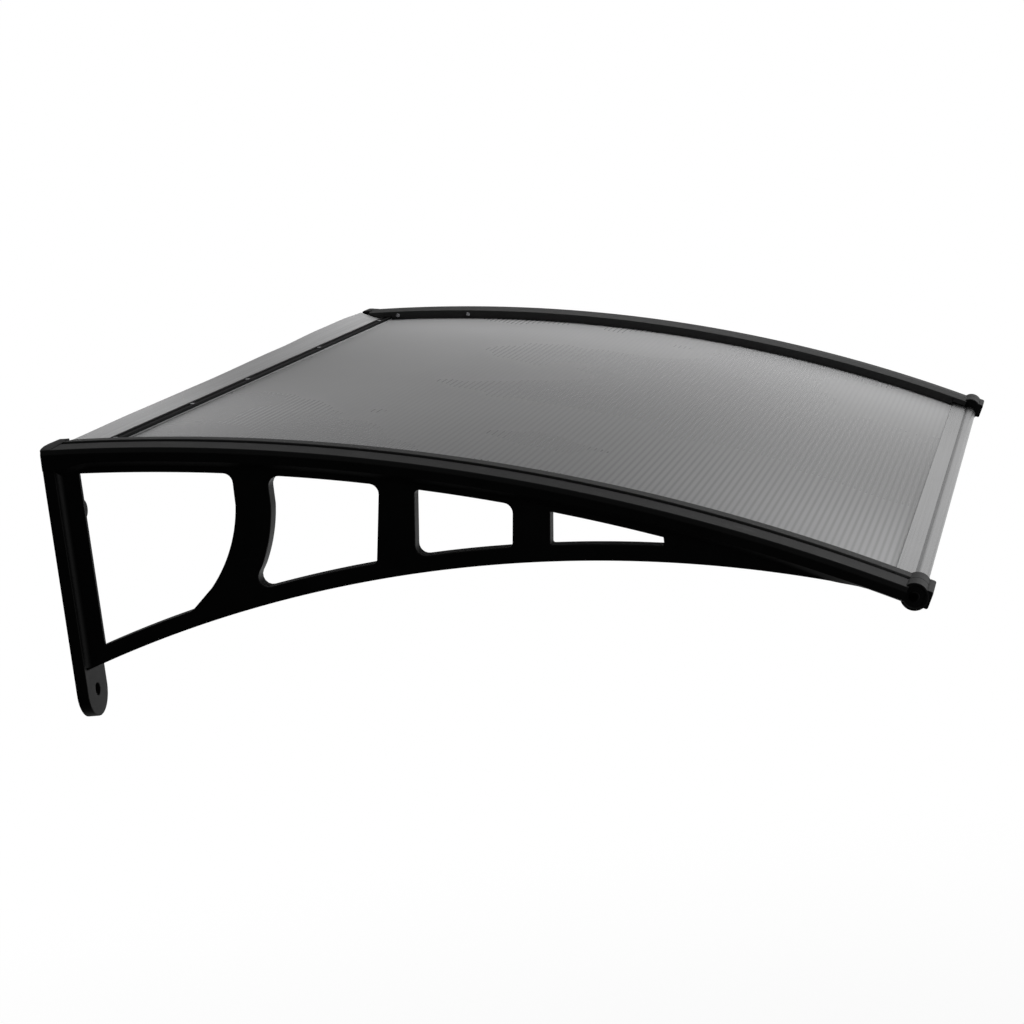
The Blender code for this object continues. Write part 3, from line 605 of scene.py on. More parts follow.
def along_at(out):
    """Length along the arch at a distance out from the wall."""
    return (asin((out + ARCH_CENTRE_Y) / ARCH_RADIUS) - ARCH_START) * ARCH_RADIUS


def up_at(along):
    angle = ARCH_START + along / ARCH_RADIUS
    return Vector((0, -sin(angle), cos(angle)))


def front(ahead, height):
    """(y, z) in the straight frame at the sheet's front edge."""
    y, z = arch(SHEET_FRONT, height)
    angle = ARCH_START + SHEET_FRONT / ARCH_RADIUS
    return y - ahead * cos(angle), z - ahead * sin(angle)


def arm_centre():
    """Centre of the arm's lower arc, which runs from the heel at the wall to the nose."""
    heel = Vector((0.0, -TAB_DROP + HEEL_ABOVE_TAB))
    tip = Vector(arch(ARM_END, -ARM_END_DEPTH))
    along = (tip - heel) / 2
    down = Vector((-along.y, along.x)).normalized()
    return (heel + tip) / 2 + down * sqrt(ARM_RADIUS ** 2 - along.length ** 2)


ARM_CENTRE = arm_centre()


def arm_z(out, depth):
    """Height of the lower arm at a distance out from the wall, a depth above its lower edge."""
    return ARM_CENTRE.y + sqrt((ARM_RADIUS + depth) ** 2 - (out + ARM_CENTRE.x) ** 2)


def spaced(start, end, step):
    count = max(1, round(abs(end - start) / step))
    return [start + (end - start) * i / count for i in range(count + 1)]


def arc(centre, radius, start, end, count):
    return [
        (centre[0] + radius * cos(a), centre[1] + radius * sin(a))
        for a in spaced(start, end, abs(end - start) / count)
    ]


def circle(centre, radius, count=48):
    return arc(centre, radius, 0.0, 2 * pi, count)[:-1]


def rounded(corners, steps=6):
    """Outline through (point, radius) corners, each with a radius turned into an arc."""
    points = []
    for i, (point, radius) in enumerate(corners):
        here = Vector(point)
        if not radius:
            points.append(tuple(here))
            continue
        before = Vector(corners[i - 1][0]) - here
        after = Vector(corners[(i + 1) % len(corners)][0]) - here
        half = before.angle(after) / 2
        setback = radius / tan(half)
        centre = here + (before.normalized() + after.normalized()).normalized() * radius / sin(half)
        first = here + before.normalized() * setback - centre
        last = here + after.normalized() * setback - centre
        start = atan2(first.y, first.x)
        turn = (atan2(last.y, last.x) - start + pi) % (2 * pi) - pi
        points += arc(centre, radius, start, start + turn, steps)
    return points


def new_object(name, data):
    made = bpy.data.objects.new(name, data)
    bpy.context.scene.collection.objects.link(made)
    return made


def discard(used):
    """Removes a helper object with its mesh or curve."""
    data = used.data
    kept_in = bpy.data.curves if isinstance(data, bpy.types.Curve) else bpy.data.meshes
    bpy.data.objects.remove(used)
    kept_in.remove(data)


def result_of(holder):
    """The mesh that a helper object comes to. The helper goes."""
    view = bpy.context.evaluated_depsgraph_get()
    mesh = bpy.data.meshes.new_from_object(holder.evaluated_get(view), depsgraph=view)
    discard(holder)
    return mesh


def coat(mesh, material):
    mesh.materials.clear()
    mesh.materials.append(material)


def mesh_from(edit):
    """A plain mesh from a closed bmesh, its doubles merged and its faces turned outwards."""
    bmesh.ops.remove_doubles(edit, verts=edit.verts, dist=1e-6)
    bmesh.ops.recalc_face_normals(edit, faces=edit.faces)
    mesh = bpy.data.meshes.new("part")
    edit.to_mesh(mesh)
    edit.free()
    return mesh


def loft(rings, capped=True):
    """Closed mesh through rings of as many points each, capped or joined end to end."""
    edit = bmesh.new()
    rows = [[edit.verts.new(point) for point in ring] for ring in rings]
    size = len(rings[0])
    for low, high in zip(rows, rows[1:] + ([] if capped else rows[:1])):
        for i in range(size):
            j = (i + 1) % size
            edit.faces.new((low[i], low[j], high[j], high[i]))
    if capped:
        edit.faces.new(rows[0])
        edit.faces.new(rows[-1])
    return mesh_from(edit)


def lathe(profile, place, direction, sides=64, capped=True):
    """Turned solid: profile of (along, radius) about a line from place in direction. Without
    caps it has a hole, and its profile goes all the way round."""
    turn = Vector((0, 0, 1)).rotation_difference(Vector(direction)).to_matrix()
    rings = []
    for along, radius in profile:
        ring = [Vector((*point, along)) for point in circle((0, 0), max(radius, 1e-5), sides)]
        rings.append([turn @ point + Vector(place) for point in ring])
    return loft(rings, capped)


def flat_plate(outlines, thickness, edge, place):
    """Plate with rounded edges. The first outline goes round the others, which are its holes,
    and place turns the plate's own (u, v, w) into the canopy's coordinates."""
    curve = bpy.data.curves.new("plate", "CURVE")
    curve.dimensions = "2D"
    curve.fill_mode = "BOTH"
    curve.extrude = thickness / 2 - edge
    curve.bevel_depth = edge
    curve.bevel_resolution = 2
    curve.offset = -edge
    for outline in outlines:
        spline = curve.splines.new("POLY")
        spline.points.add(len(outline) - 1)
        for point, (u, v) in zip(spline.points, outline):
            point.co = (u, v, 0.0, 1.0)
        spline.use_cyclic_u = True
    flat = result_of(new_object("plate", curve))
    edit = bmesh.new()
    edit.from_mesh(flat)
    for vertex in edit.verts:
        vertex.co = place(*vertex.co)
    bpy.data.meshes.remove(flat)
    return mesh_from(edit)


def piece(name, meshes, material, nodes, sharp=32.0):
    """One finished piece from closed meshes, riding on the canopy and standing for its nodes."""
    edit = bmesh.new()
    for mesh in meshes:
        edit.from_mesh(mesh)
        bpy.data.meshes.remove(mesh)
    joined = bpy.data.meshes.new(name)
    edit.to_mesh(joined)
    edit.free()
    for vertex in joined.vertices:
        vertex.co.y = min(vertex.co.y, 0.0)
    coat(joined, material)
    joined.shade_smooth()
    joined.set_sharp_from_angle(angle=radians(sharp))
    made = new_object(name, joined)
    made.modifiers.new("even shading", "WEIGHTED_NORMAL").keep_sharp = True
    return settle(made, nodes)


def settle(made, nodes):
    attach(made, ROOT)
    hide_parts(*nodes)
    return made


def window_outline(rear_top, rear_bottom, front_bottom, front_top, rounds):
    """Window between the web's top band and the lower arm, from its four corners."""
    top_rear, bottom_rear, bottom_front, top_front = rounds

    def upper(out):
        return -out, arch_z(out, -WEB_BAND)

    def lower(out):
        return -out, arm_z(out, ARM_DEPTH)

    corners = [(upper(rear_top), top_rear)]
    corners += [(upper(out), 0) for out in between(rear_top, front_top)]
    corners += [(upper(front_top), top_front), (lower(front_bottom), bottom_front)]
    corners += [(lower(out), 0) for out in between(front_bottom, rear_bottom)]
    corners.append((lower(rear_bottom), bottom_rear))
    return corners


def between(start, end):
    """Places between two corners, kept clear of the corners' own rounding."""
    way = 1 if end > start else -1
    return spaced(start + way * CORNER_CLEAR, end - way * CORNER_CLEAR, ARCH_STEP)


def bulged(corners, index, radius, way, steps=24):
    """Replaces the straight run after a corner with an arc, out of the window where way is 1."""
    start = Vector(corners[index][0])
    end = Vector(corners[(index + 1) % len(corners)][0])
    half = (end - start) / 2
    outward = Vector((half.y, -half.x)).normalized()
    centre = (start + end) / 2 - way * outward * sqrt(radius ** 2 - half.length ** 2)
    first = atan2(*(start - centre).yx)
    turn = (atan2(*(end - centre).yx) - first + pi) % (2 * pi) - pi
    added = [
        (point, 0) for point in arc(centre, radius, first, first + turn, steps)
        if min((Vector(point) - start).length, (Vector(point) - end).length) > CORNER_CLEAR
    ]
    return corners[:index + 1] + added + corners[index + 1:]


def window_tip():
    """Distance out at which the last window is as low as its blunt tip."""
    low, high = WINDOW_4_REAR[0], ARM_END
    for _ in range(40):
        middle = (low + high) / 2
        if arch_z(middle, -WEB_BAND) - arm_z(middle, ARM_DEPTH) > WINDOW_4_TIP:
            low = middle
        else:
            high = middle
    return low


def window_outlines():
    behind = PLATE_THICKNESS - OVERLAP
    rounds = (0, 0, CORNER_ROUND, CORNER_ROUND)
    first = window_outline(behind, behind, WINDOW_1_FOOT, WINDOW_1_FRONT, rounds)
    foot = (-WINDOW_1_FOOT, arm_z(WINDOW_1_FOOT, ARM_DEPTH))
    first = bulged(first, first.index((foot, CORNER_ROUND)) - 1, WINDOW_1_BULGE, 1)
    second = window_outline(*WINDOW_2, (CORNER_ROUND, CORNER_ROUND, SMALL_ROUND, CORNER_ROUND))
    second = bulged(second, len(second) - 1, WINDOW_2_BULGE, -1)
    third = window_outline(*WINDOW_3, (SMALL_ROUND, CORNER_ROUND, SMALL_ROUND, CORNER_ROUND))
    tip = window_tip()
    fourth = window_outline(*WINDOW_4_REAR, tip, tip, (0, SMALL_ROUND / 2, SMALL_ROUND / 2, 0))
    return [rounded(corners) for corners in (first, second, third, fourth)]


def upright_plate(side, outlines, thickness, edge):
    """Plate square to the wall, counted inwards from where the web starts."""
    middle = WEB_INSET + thickness / 2
    return flat_plate(outlines, thickness, edge, lambda y, z, w: (side.x(middle + w), y, z))


def web(side, edge):
    """Web with its four windows and the lower arm, up to the inside of the rail."""
    inside = -RAIL_FACE_DEPTH - OVERLAP
    far = -arch(ARM_END, 0)[0]
    outs = spaced(PLATE_THICKNESS / 4, far, ARCH_STEP)
    top = [(-out, arch_z(out, inside)) for out in outs]
    bottom = [(-out, arm_z(out, 0.0)) for out in reversed(outs)]
    return upright_plate(side, [top + bottom, *window_outlines()], WEB_THICKNESS, edge)


def rib(side, edge):
    """Thin rib between the wall plate and the first window."""
    behind = PLATE_THICKNESS - 2 * OVERLAP
    top = [(-out, arch_z(out, OVERLAP - WEB_BAND)) for out in (behind, RIB_DEPTH)]
    foot = [(-out, arm_z(out, ARM_DEPTH - OVERLAP)) for out in (RIB_DEPTH, behind)]
    return upright_plate(side, [top + foot], RIB_THICKNESS, edge / 2)


def corner_drop(along):
    """How much lower the rail's foot is near the wall, where it curves down to the leg."""
    reach = max(0.0, CORNER_REACH - max(along, CORNER_START))
    return CORNER_RADIUS - sqrt(CORNER_RADIUS ** 2 - reach ** 2)


def arm_height(along):
    """Height of the lower arm's under side, which cuts off all below it towards the nose."""
    if along >= ARM_END:
        return -ARM_END_DEPTH
    y, z = arch(along, 0.0)
    return arm_z(-y, 0.0) - z


def rail_section(along, edge):
    """Top rail with a drafted outer face, a chamfered foot and its shoulder."""
    foot = max(-RAIL_FACE_DEPTH - RAIL_CHAMFER, arm_height(along)) - corner_drop(along)
    inner = WEB_INSET + WEB_THICKNESS
    shoulder = RAIL_HEIGHT + SHOULDER_RISE
    return rounded([
        ((FACE_DRAFT, RAIL_HEIGHT), edge),
        ((SHOULDER_WIDTH, shoulder), GROOVE_ROUND),
        ((SHOULDER_WIDTH, LEDGE_TOP), 0),
        ((inner, LEDGE_TOP), 0),
        ((inner, foot), 0),
        ((RAIL_CHAMFER, foot), edge / 2),
        ((0.0, -RAIL_FACE_DEPTH - corner_drop(along)), edge),
        ((0.0, RAIL_HEIGHT - DRAFT_HEIGHT), edge),
    ], 4)


def ledge_section(along, edge):
    low = max(LEDGE_TOP - LEDGE_THICKNESS, arm_height(along))
    inner = WEB_INSET + WEB_THICKNESS - OVERLAP
    return rounded([
        ((inner, LEDGE_TOP), 0), ((LEDGE_WIDTH, LEDGE_TOP), edge / 3),
        ((LEDGE_WIDTH, low), edge / 3), ((inner, low), 0),
    ], 4)


def swept(side, section_at, alongs):
    """Solid through sections of (width, height) points along the arch."""
    return loft([
        [(side.x(width), *arch(along, height)) for width, height in section_at(along)]
        for along in alongs
    ])


def trimmed_rear(mesh, start, top, reach, fall):
    """Rounds the top rear edge of a swept solid, which falls away over a reach from its start."""
    for vertex in mesh.vertices:
        share = min(1.0, max(0.0, 1.0 - (-start - vertex.co.y) / reach))
        vertex.co.z = min(vertex.co.z, top - fall * (1.0 - sqrt(1.0 - share * share)))
    return mesh


def rear_alongs(start):
    """Stations along the arch, close together where the rear edge is rounded."""
    near = start + REAR_ROUND
    return (
        spaced(start, near, REAR_ROUND / 12) + spaced(near, CORNER_REACH, ARCH_STEP / 2)[1:]
        + spaced(CORNER_REACH, SHEET_FRONT + OVERLAP, ARCH_STEP)[1:]
    )


def plate(side, edge):
    """Plate against the wall with its round tab, its hole and the upper hole."""
    middle = PLATE_WIDTH / 2
    top = LEDGE_TOP
    outline = [(PLATE_TAPER, top), (0.0, top - PLATE_WIDTH / 2), (0.0, -TAB_DROP)]
    outline += arc((middle, -TAB_DROP), middle, pi, 2 * pi, 48)[1:]
    outline.append((PLATE_WIDTH, top))
    holes = [
        circle((middle, -TAB_DROP), TAB_HOLE_RADIUS),
        circle((middle + BOSS_OFFSET, -BOSS_DROP), BOSS_HOLE_RADIUS),
    ]
    return flat_plate(
        [outline, *holes], PLATE_THICKNESS, edge,
        lambda w, z, depth: (side.x(w), depth - PLATE_THICKNESS / 2, z),
    )


def rear_block(side, edge):
    """Domed full-width end of the rail at the wall, behind the clamp strip."""
    rings = []
    for out in spaced(0.0, REAR_BLOCK_DEPTH, REAR_ROUND / 12):
        share = 1.0 - (out / REAR_BLOCK_DEPTH) ** 2
        tops = zip(CAP_WIDTHS, CAP_HEIGHTS, CAP_FRONT)
        section = rounded([
            ((FACE_DRAFT, LEDGE_TOP - OVERLAP), 0),
            *[((width, low + (high - low) * share), edge) for width, high, low in tops],
            ((REAR_BLOCK_WIDTH, LEDGE_TOP - OVERLAP), 0),
        ], 4)
        rings.append([(side.x(w), -out, z) for w, z in section])
    return trimmed_rear(loft(rings), 0.0, max(CAP_HEIGHTS), REAR_ROUND, REAR_FALL)


def leg_fillet(side):
    """Concave fillet from the plate's outer front edge into the rib."""
    edge = arc((0.0, -PLATE_THICKNESS - FILLET_RADIUS), FILLET_RADIUS, pi / 2 - 0.07, 0.0, 14)
    inside = WEB_INSET + RIB_THICKNESS / 2
    behind = OVERLAP - PLATE_THICKNESS
    outline = [(edge[0][0], behind), *edge, (inside, edge[-1][1]), (inside, behind)]
    heights = (arch_z(0, -RAIL_FACE_DEPTH - OVERLAP), arm_z(PLATE_THICKNESS, ARM_DEPTH / 5))
    return loft([[(side.x(w), y, z) for w, y in outline] for z in heights])


def boss(side, edge):
    """Upper fixing boss, a short tube on the plate."""
    place = (side.x(PLATE_WIDTH / 2 + BOSS_OFFSET), -PLATE_THICKNESS + OVERLAP, -BOSS_DROP)
    far = BOSS_HEIGHT + OVERLAP
    rim = arc((far - edge, BOSS_RADIUS - edge), edge, pi / 2, 0.0, 4)
    profile = [(0.0, BOSS_HOLE_RADIUS), (0.0, BOSS_RADIUS), *rim, (far, BOSS_HOLE_RADIUS)]
    return lathe(profile, place, (0, -1, 0), capped=False)


def nose(side, edge):
    """Round nose: a drum with a recessed end face and a groove where the strip ends."""
    start = WEB_INSET
    groove = SHOULDER_WIDTH - start
    rim = NOSE_RADIUS - NOSE_RIM
    profile = [
        (NOSE_RECESS, 0.0), (NOSE_RECESS, rim - edge / 2), (edge / 2, rim), (0.0, rim + edge / 2),
        *[(edge - edge * sin(a), NOSE_RADIUS - edge + edge * cos(a)) for a in (1.3, 0.8, 0.3, 0.0)],
        (groove - NOSE_GROOVE, NOSE_RADIUS), (groove, NOSE_RADIUS - NOSE_GROOVE),
        (groove + NOSE_GROOVE, NOSE_RADIUS),
        (NOSE_INNER - start - edge, NOSE_RADIUS), (NOSE_INNER - start, NOSE_RADIUS - edge),
    ]
    drum = lathe(profile, (side.x(start), *front(NOSE_AHEAD, NOSE_RISE)), (-side.sign, 0, 0), 96)
    rear = BAR_FRONT - BAR_THICKNESS
    corners = [
        (front(rear, -BAR_BOTTOM), 0),
        (front(BAR_FRONT, -BAR_BOTTOM), BAR_ROUND),
        (front(BAR_FRONT, BAR_TOP), BAR_ROUND),
        (front(rear, BAR_TOP), BAR_ROUND / 2),
    ]
    middle = (start + NOSE_INNER) / 2
    bar = flat_plate(
        [rounded(corners, 5)], NOSE_INNER - start - 2 * GAP, edge / 2,
        lambda y, z, w: (side.x(middle + w), y, z),
    )
    return [drum, bar]


def strip_section(edge):
    outer = SHOULDER_WIDTH + GAP
    shelf = RAIL_HEIGHT + SHOULDER_RISE - GROOVE_DEPTH
    return rounded([
        ((outer, GAP), 0), ((outer, shelf), 0), ((STRIP_STEP, shelf), 0),
        ((STRIP_STEP, STRIP_TOP), edge), ((STRIP_INNER, STRIP_INNER_TOP), edge),
        ((STRIP_INNER, GAP), edge / 3),
    ], 4)


def clamp_strip_mesh(side, edge):
    """Lip along the sheet's edge, its rear end rounded and its front end under the nose."""
    section = strip_section(edge)
    start = REAR_BLOCK_DEPTH + GAP
    stop = SHEET_FRONT - FLANGE_REACH - 2 * GAP
    alongs = [along for along in rear_alongs(start) if along < stop] + [stop]
    low = swept(side, lambda along: section, alongs)
    over = [(width, max(height, FLANGE_FRONT_TOP + GAP)) for width, height in section]
    alongs = spaced(stop - OVERLAP, SHEET_FRONT + OVERLAP, ARCH_STEP / 2)
    ahead = swept(side, lambda along: over, alongs)
    return [trimmed_rear(low, start, STRIP_TOP, STRIP_REAR_ROUND, STRIP_REAR_ROUND), ahead]


def new_tree(name, sockets):
    """A geometry nodes tree, its wrapper and what its inputs give; sockets are (name, kind)."""
    tree = bpy.data.node_groups.new(name, "GeometryNodeTree")
    tree.interface.new_socket("Geometry", in_out="OUTPUT", socket_type="NodeSocketGeometry")
    for label, kind in sockets:
        tree.interface.new_socket(label, in_out="INPUT", socket_type="NodeSocket" + kind)
    nodes = Nodes(tree)
    return tree, nodes, nodes.add("NodeGroupInput").outputs


def sheet_tree(material):
    """Geometry nodes that bend a flat grid onto the arch and sink it over each inner wall."""
    names = ("Width", "Start", "End", "Radius", "Pitch", "Sink")
    sockets = [*((name, "Float") for name in names), ("Rows", "Int")]
    tree, nodes, given = new_tree("twin wall sheet", sockets)
    width, start, end, radius, pitch, sink = (Value(nodes, given[name]) for name in names)
    length = end - start
    grid = nodes.add("GeometryNodeMeshGrid", {
        "Size X": width, "Size Y": length, "Vertices X": 9, "Vertices Y": given["Rows"],
    })
    x, y, _ = nodes.split(nodes.add("GeometryNodeInputPosition").outputs[0])
    along = y + length * 0.5
    phase = (along / pitch).fract()
    near_wall = abs(phase - 0.5) * 2.0
    height = (near_wall ** 10.0) * sink * -1.0
    angle = (along + start) / radius + ARCH_START
    reach = radius + height
    bent = nodes.join(
        -x, ARCH_CENTRE_Y - angle.sin() * reach, angle.cos() * reach + ARCH_CENTRE_Z,
    )
    placed = nodes.add("GeometryNodeSetPosition", {"Geometry": grid.outputs[0], "Position": bent})
    smooth = nodes.add("GeometryNodeSetShadeSmooth", {"Geometry": placed.outputs[0]})
    finish_tree(nodes, smooth.outputs[0], material)
    return tree


def finish_tree(nodes, geometry, material):
    """Ends a tree in real geometry with its material."""
    real = nodes.add("GeometryNodeRealizeInstances", {"Geometry": geometry})
    painted = nodes.add("GeometryNodeSetMaterial", {"Geometry": real.outputs[0], "Material": material})
    out = nodes.add("NodeGroupOutput")
    nodes.tree.links.new(painted.outputs[0], out.inputs[0])


def grown(name, source, tree, values, material, next_step=None):
    """Runs a tree on a mesh and keeps the result as a plain mesh object. The tree goes."""
    holder = new_object(name + "_source", source)
    step = holder.modifiers.new("tree", "NODES")
    step.node_group = tree
    for item in tree.interface.items_tree:
        if item.in_out == "INPUT" and item.name in values:
            step[item.identifier] = values[item.name]
    if next_step:
        next_step(holder)
    mesh = result_of(holder)
    bpy.data.node_groups.remove(tree)
    mesh.name = name
    coat(mesh, material)
    return new_object(name, mesh)


def thickened(holder):
    step = holder.modifiers.new("two skins", "SOLIDIFY")
    step.thickness = SHEET_THICKNESS
    step.offset = -1.0
    step.use_even_offset = False


def screw_tree(screw, material):
    """Geometry nodes that set a screw on each seat, turned to its axis and by chance about it."""
    sockets = [("Geometry", "Geometry"), ("Seed", "Int")]
    tree, nodes, given = new_tree("screws on seats", sockets)
    pattern = nodes.add("GeometryNodeObjectInfo", {"Object": screw}, transform_space="ORIGINAL")
    axis = nodes.add("GeometryNodeInputNamedAttribute", {"Name": "axis"}, data_type="FLOAT_VECTOR")
    turned = nodes.add("FunctionNodeAlignRotationToVector", {"Vector": axis.outputs[0]}, axis="Z")
    chance = nodes.add("FunctionNodeRandomValue", {"Seed": given["Seed"]}, data_type="FLOAT")
    spin = Value(nodes, chance.outputs[1]) * (pi / 2)
    spun = nodes.add(
        "FunctionNodeRotateRotation", {0: turned.outputs[0], 1: nodes.join(0.0, 0.0, spin)},
        rotation_space="LOCAL",
    )
    points = nodes.add("GeometryNodeMeshToPoints", {"Mesh": given["Geometry"]})
    set_on = nodes.add("GeometryNodeInstanceOnPoints", {
        "Points": points.outputs[0], "Instance": pattern.outputs["Geometry"],
        "Rotation": spun.outputs[0],
    })
    finish_tree(nodes, set_on.outputs[0], material)
    return tree


def seats_mesh(seats):
    """One vertex for each seat, with the direction that the screw's head faces."""
    mesh = bpy.data.meshes.new("seats")
    mesh.from_pydata([tuple(place) for place, _ in seats], [], [])
    axis = mesh.attributes.new("axis", "FLOAT_VECTOR", "POINT")
    for item, (_, direction) in zip(axis.data, seats):
        item.vector = direction
    return mesh


def cross_cutter(radius, depth, height):
    """Cross recess: two crossed wedges that narrow with depth."""
    half = radius * 0.13
    edit = bmesh.new()
    for long_x in (True, False):
        rings = []
        for z, reach in ((height + radius, radius * 0.62), (height - depth, radius * 0.3)):
            a, b = (reach, half) if long_x else (half, reach)
            rings.append([(-a, -b, z), (a, -b, z), (a, b, z), (-a, b, z)])
        mesh = loft(rings)
        edit.from_mesh(mesh)
        bpy.data.meshes.remove(mesh)
    made = bpy.data.meshes.new("recess")
    edit.to_mesh(made)
    edit.free()
    return made


def pan_screw_object(name, head_radius, head_height, shank_radius, reach):
    """Pan-head screw with a cross recess, its head above Z = 0 and its threaded shank below."""
    turn = [(i * pi / 2 / 8) for i in range(9)]
    dome = [(head_height * (0.35 + 0.65 * sin(a)), head_radius * (0.5 + 0.5 * cos(a))) for a in turn]
    profile = [(-reach, shank_radius * 0.3), (-reach + shank_radius, shank_radius * 0.85)]
    pitch = shank_radius * 0.8
    crests = int((reach - shank_radius * 1.5) / pitch)
    for i in range(crests):
        low = -reach + shank_radius * 1.2 + i * pitch
        profile += [(low, shank_radius * 0.8), (low + pitch / 2, shank_radius)]
    profile += [(0.0, shank_radius * 0.8), (0.0, head_radius), *dome]
    body = new_object(name, lathe(profile, (0, 0, 0), (0, 0, 1), 32))
    cutter = new_object(name + "_recess", cross_cutter(head_radius, head_height * 0.8, head_height))
    cut = body.modifiers.new("recess", "BOOLEAN")
    cut.operation = "DIFFERENCE"
    cut.object = cutter
    cut.solver = "EXACT"
    cut.use_self = True
    mesh = result_of(body)
    discard(cutter)
    mesh.shade_smooth()
    mesh.set_sharp_from_angle(angle=radians(34.0))
    return new_object(name, mesh)


def screws(name, seats, sizes, material, nodes, seed):
    """Like screws on their seats, as one piece."""
    pattern = pan_screw_object(name + "_pattern", *sizes)
    made = grown(name, seats_mesh(seats), screw_tree(pattern, material), {"Seed": seed}, material)
    discard(pattern)
    return settle(made, nodes)


def clamp_screw_places():
    """Lengths along the arch of the clamp screws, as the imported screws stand."""
    places = []
    for number in range(1, SCREWS_PER_LEDGE + 1):
        low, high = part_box(f"left_clamp_screw_{number}")
        places.append(along_at(-(low.y + high.y) / 2))
    return places


def seal_height(x):
    """Height of the seal's wall edge at a place along the wall, smooth between its points."""
    along = (x + RAIL_HALF) / (2 * RAIL_HALF)
    points = list(zip(SEAL_BOW_SHARES, SEAL_BOW_HEIGHTS))
    for (start, low), (end, high) in zip(points, points[1:]):
        if along <= end:
            break
    share = min(1.0, max(0.0, (along - start) / (end - start)))
    return low + (high - low) * share * share * (3 - 2 * share)


def seal_point(x, out):
    """(y, z) of the seal's under side: flat under the rear rail, then rising to the wall."""
    flat_end = RAIL_CENTRE - RAIL_WIDTH / 2
    if out >= flat_end:
        return -out, arch_z(out, GAP)
    start = arch_z(flat_end, GAP)
    rise = seal_height(x) - SEAL_THICKNESS - start
    return -out, start + rise * (1 - out / flat_end) ** SEAL_CURVE


class CANOPY_OT_brackets(bpy.types.Operator):
    """Adds both brackets: rail, ledge, web, wall plate, boss and nose"""

    bl_idname = "canopy.brackets"
    bl_label = "Brackets"

    def execute(self, context):
        settings = context.scene.canopy_moulding
        edge = settings.edge
        finish = moulding_material(settings)
        for side in SIDES:
            rail = swept(side, lambda along: rail_section(along, edge), rear_alongs(0.0))
            alongs = [
                along for along in spaced(0.0, ARM_END, ARCH_STEP)
                if arm_height(along) < LEDGE_TOP - edge
            ]
            ledge = swept(side, lambda along: ledge_section(along, edge), alongs)
            meshes = [
                trimmed_rear(rail, 0.0, RAIL_HEIGHT + SHOULDER_RISE, REAR_ROUND, REAR_FALL),
                ledge, web(side, edge), rib(side, edge), plate(side, edge),
                rear_block(side, edge), leg_fillet(side), boss(side, edge), *nose(side, edge),
            ]
            name = f"{side.name}_bracket"
            piece(name + "_moulding", meshes, finish, [name])
        return {"FINISHED"}


class CANOPY_OT_clamp_strips(bpy.types.Operator):
    """Adds the lips that clamp the sheet's two edges"""

    bl_idname = "canopy.clamp_strips"
    bl_label = "Clamp Strips"

    def execute(self, context):
        settings = context.scene.canopy_moulding
        finish = bpy.data.materials["black_moulding"]
        for side in SIDES:
            meshes = clamp_strip_mesh(side, settings.edge)
            nodes = [f"{side.name}_clamp_strip"]
            piece(f"{side.name}_clamp_lip", meshes, finish, nodes)
        return {"FINISHED"}


class CANOPY_OT_sheet(bpy.types.Operator):
    """Adds the arched twin-wall sheet with a sink mark over each inner wall"""

    bl_idname = "canopy.sheet"
    bl_label = "Twin-Wall Sheet"

    def execute(self, context):
        settings = context.scene.canopy_sheet
        finish = sheet_material(settings)
        low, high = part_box("roof_sheet")
        values = {
            "Width": high.x - low.x, "Start": SHEET_REAR, "End": SHEET_FRONT, "Radius": ARCH_RADIUS,
            "Pitch": flute_pitch(), "Sink": settings.sink, "Rows": FLUTES * settings.rows + 1,
        }
        empty = bpy.data.meshes.new("empty")
        made = grown("twin_wall_sheet", empty, sheet_tree(finish), values, finish, thickened)
        made.data.set_sharp_from_angle(angle=radians(40.0))
        settle(made, ["roof_sheet"])
        return {"FINISHED"}


class CANOPY_OT_front_profile(bpy.types.Operator):
    """Adds the aluminium profile that takes the sheet's front edge"""

    bl_idname = "canopy.front_profile"
    bl_label = "Front Profile"

    def execute(self, context):
        middle = (TUBE_AHEAD, -TUBE_DROP)
        under = -SHEET_THICKNESS - GAP
        low = under - PROFILE_WALL
        top_angle = pi - asin((FLANGE_FRONT_TOP + TUBE_DROP - TUBE_TOP_STEP) / TUBE_RADIUS)
        low_angle = -pi - asin((low + TUBE_DROP - TUBE_LOW_STEP) / TUBE_RADIUS)
        tube = arc(middle, TUBE_RADIUS, top_angle, low_angle, 56)
        small = PROFILE_WALL / 5
        corners = [((-FLANGE_REACH, GAP), 0), ((-FLANGE_REACH, FLANGE_TOP), small)]
        corners.append(((tube[0][0] - TUBE_TOP_STEP, FLANGE_FRONT_TOP), small))
        corners += [(point, 0) for point in tube]
        corners += [((tube[-1][0] - TUBE_LOW_STEP, low), 0), ((-LOWER_FLANGE_REACH, low), small)]
        corners += [((-LOWER_FLANGE_REACH, under), small), ((GAP, under), 0), ((GAP, GAP), 0)]
        half = HALF - NOSE_INNER - 2 * GAP
        bore = circle(middle, TUBE_BORE)
        outlines = [[front(*point) for point in outline] for outline in (rounded(corners, 3), bore)]
        mesh = flat_plate(outlines, 2 * half, GAP / 2, lambda y, z, w: (w, y, z))
        finish = aluminium_material(context.scene.canopy_metal)
        piece("front_edge_profile", [mesh], finish, ["front_profile"], 24.0)
        return {"FINISHED"}


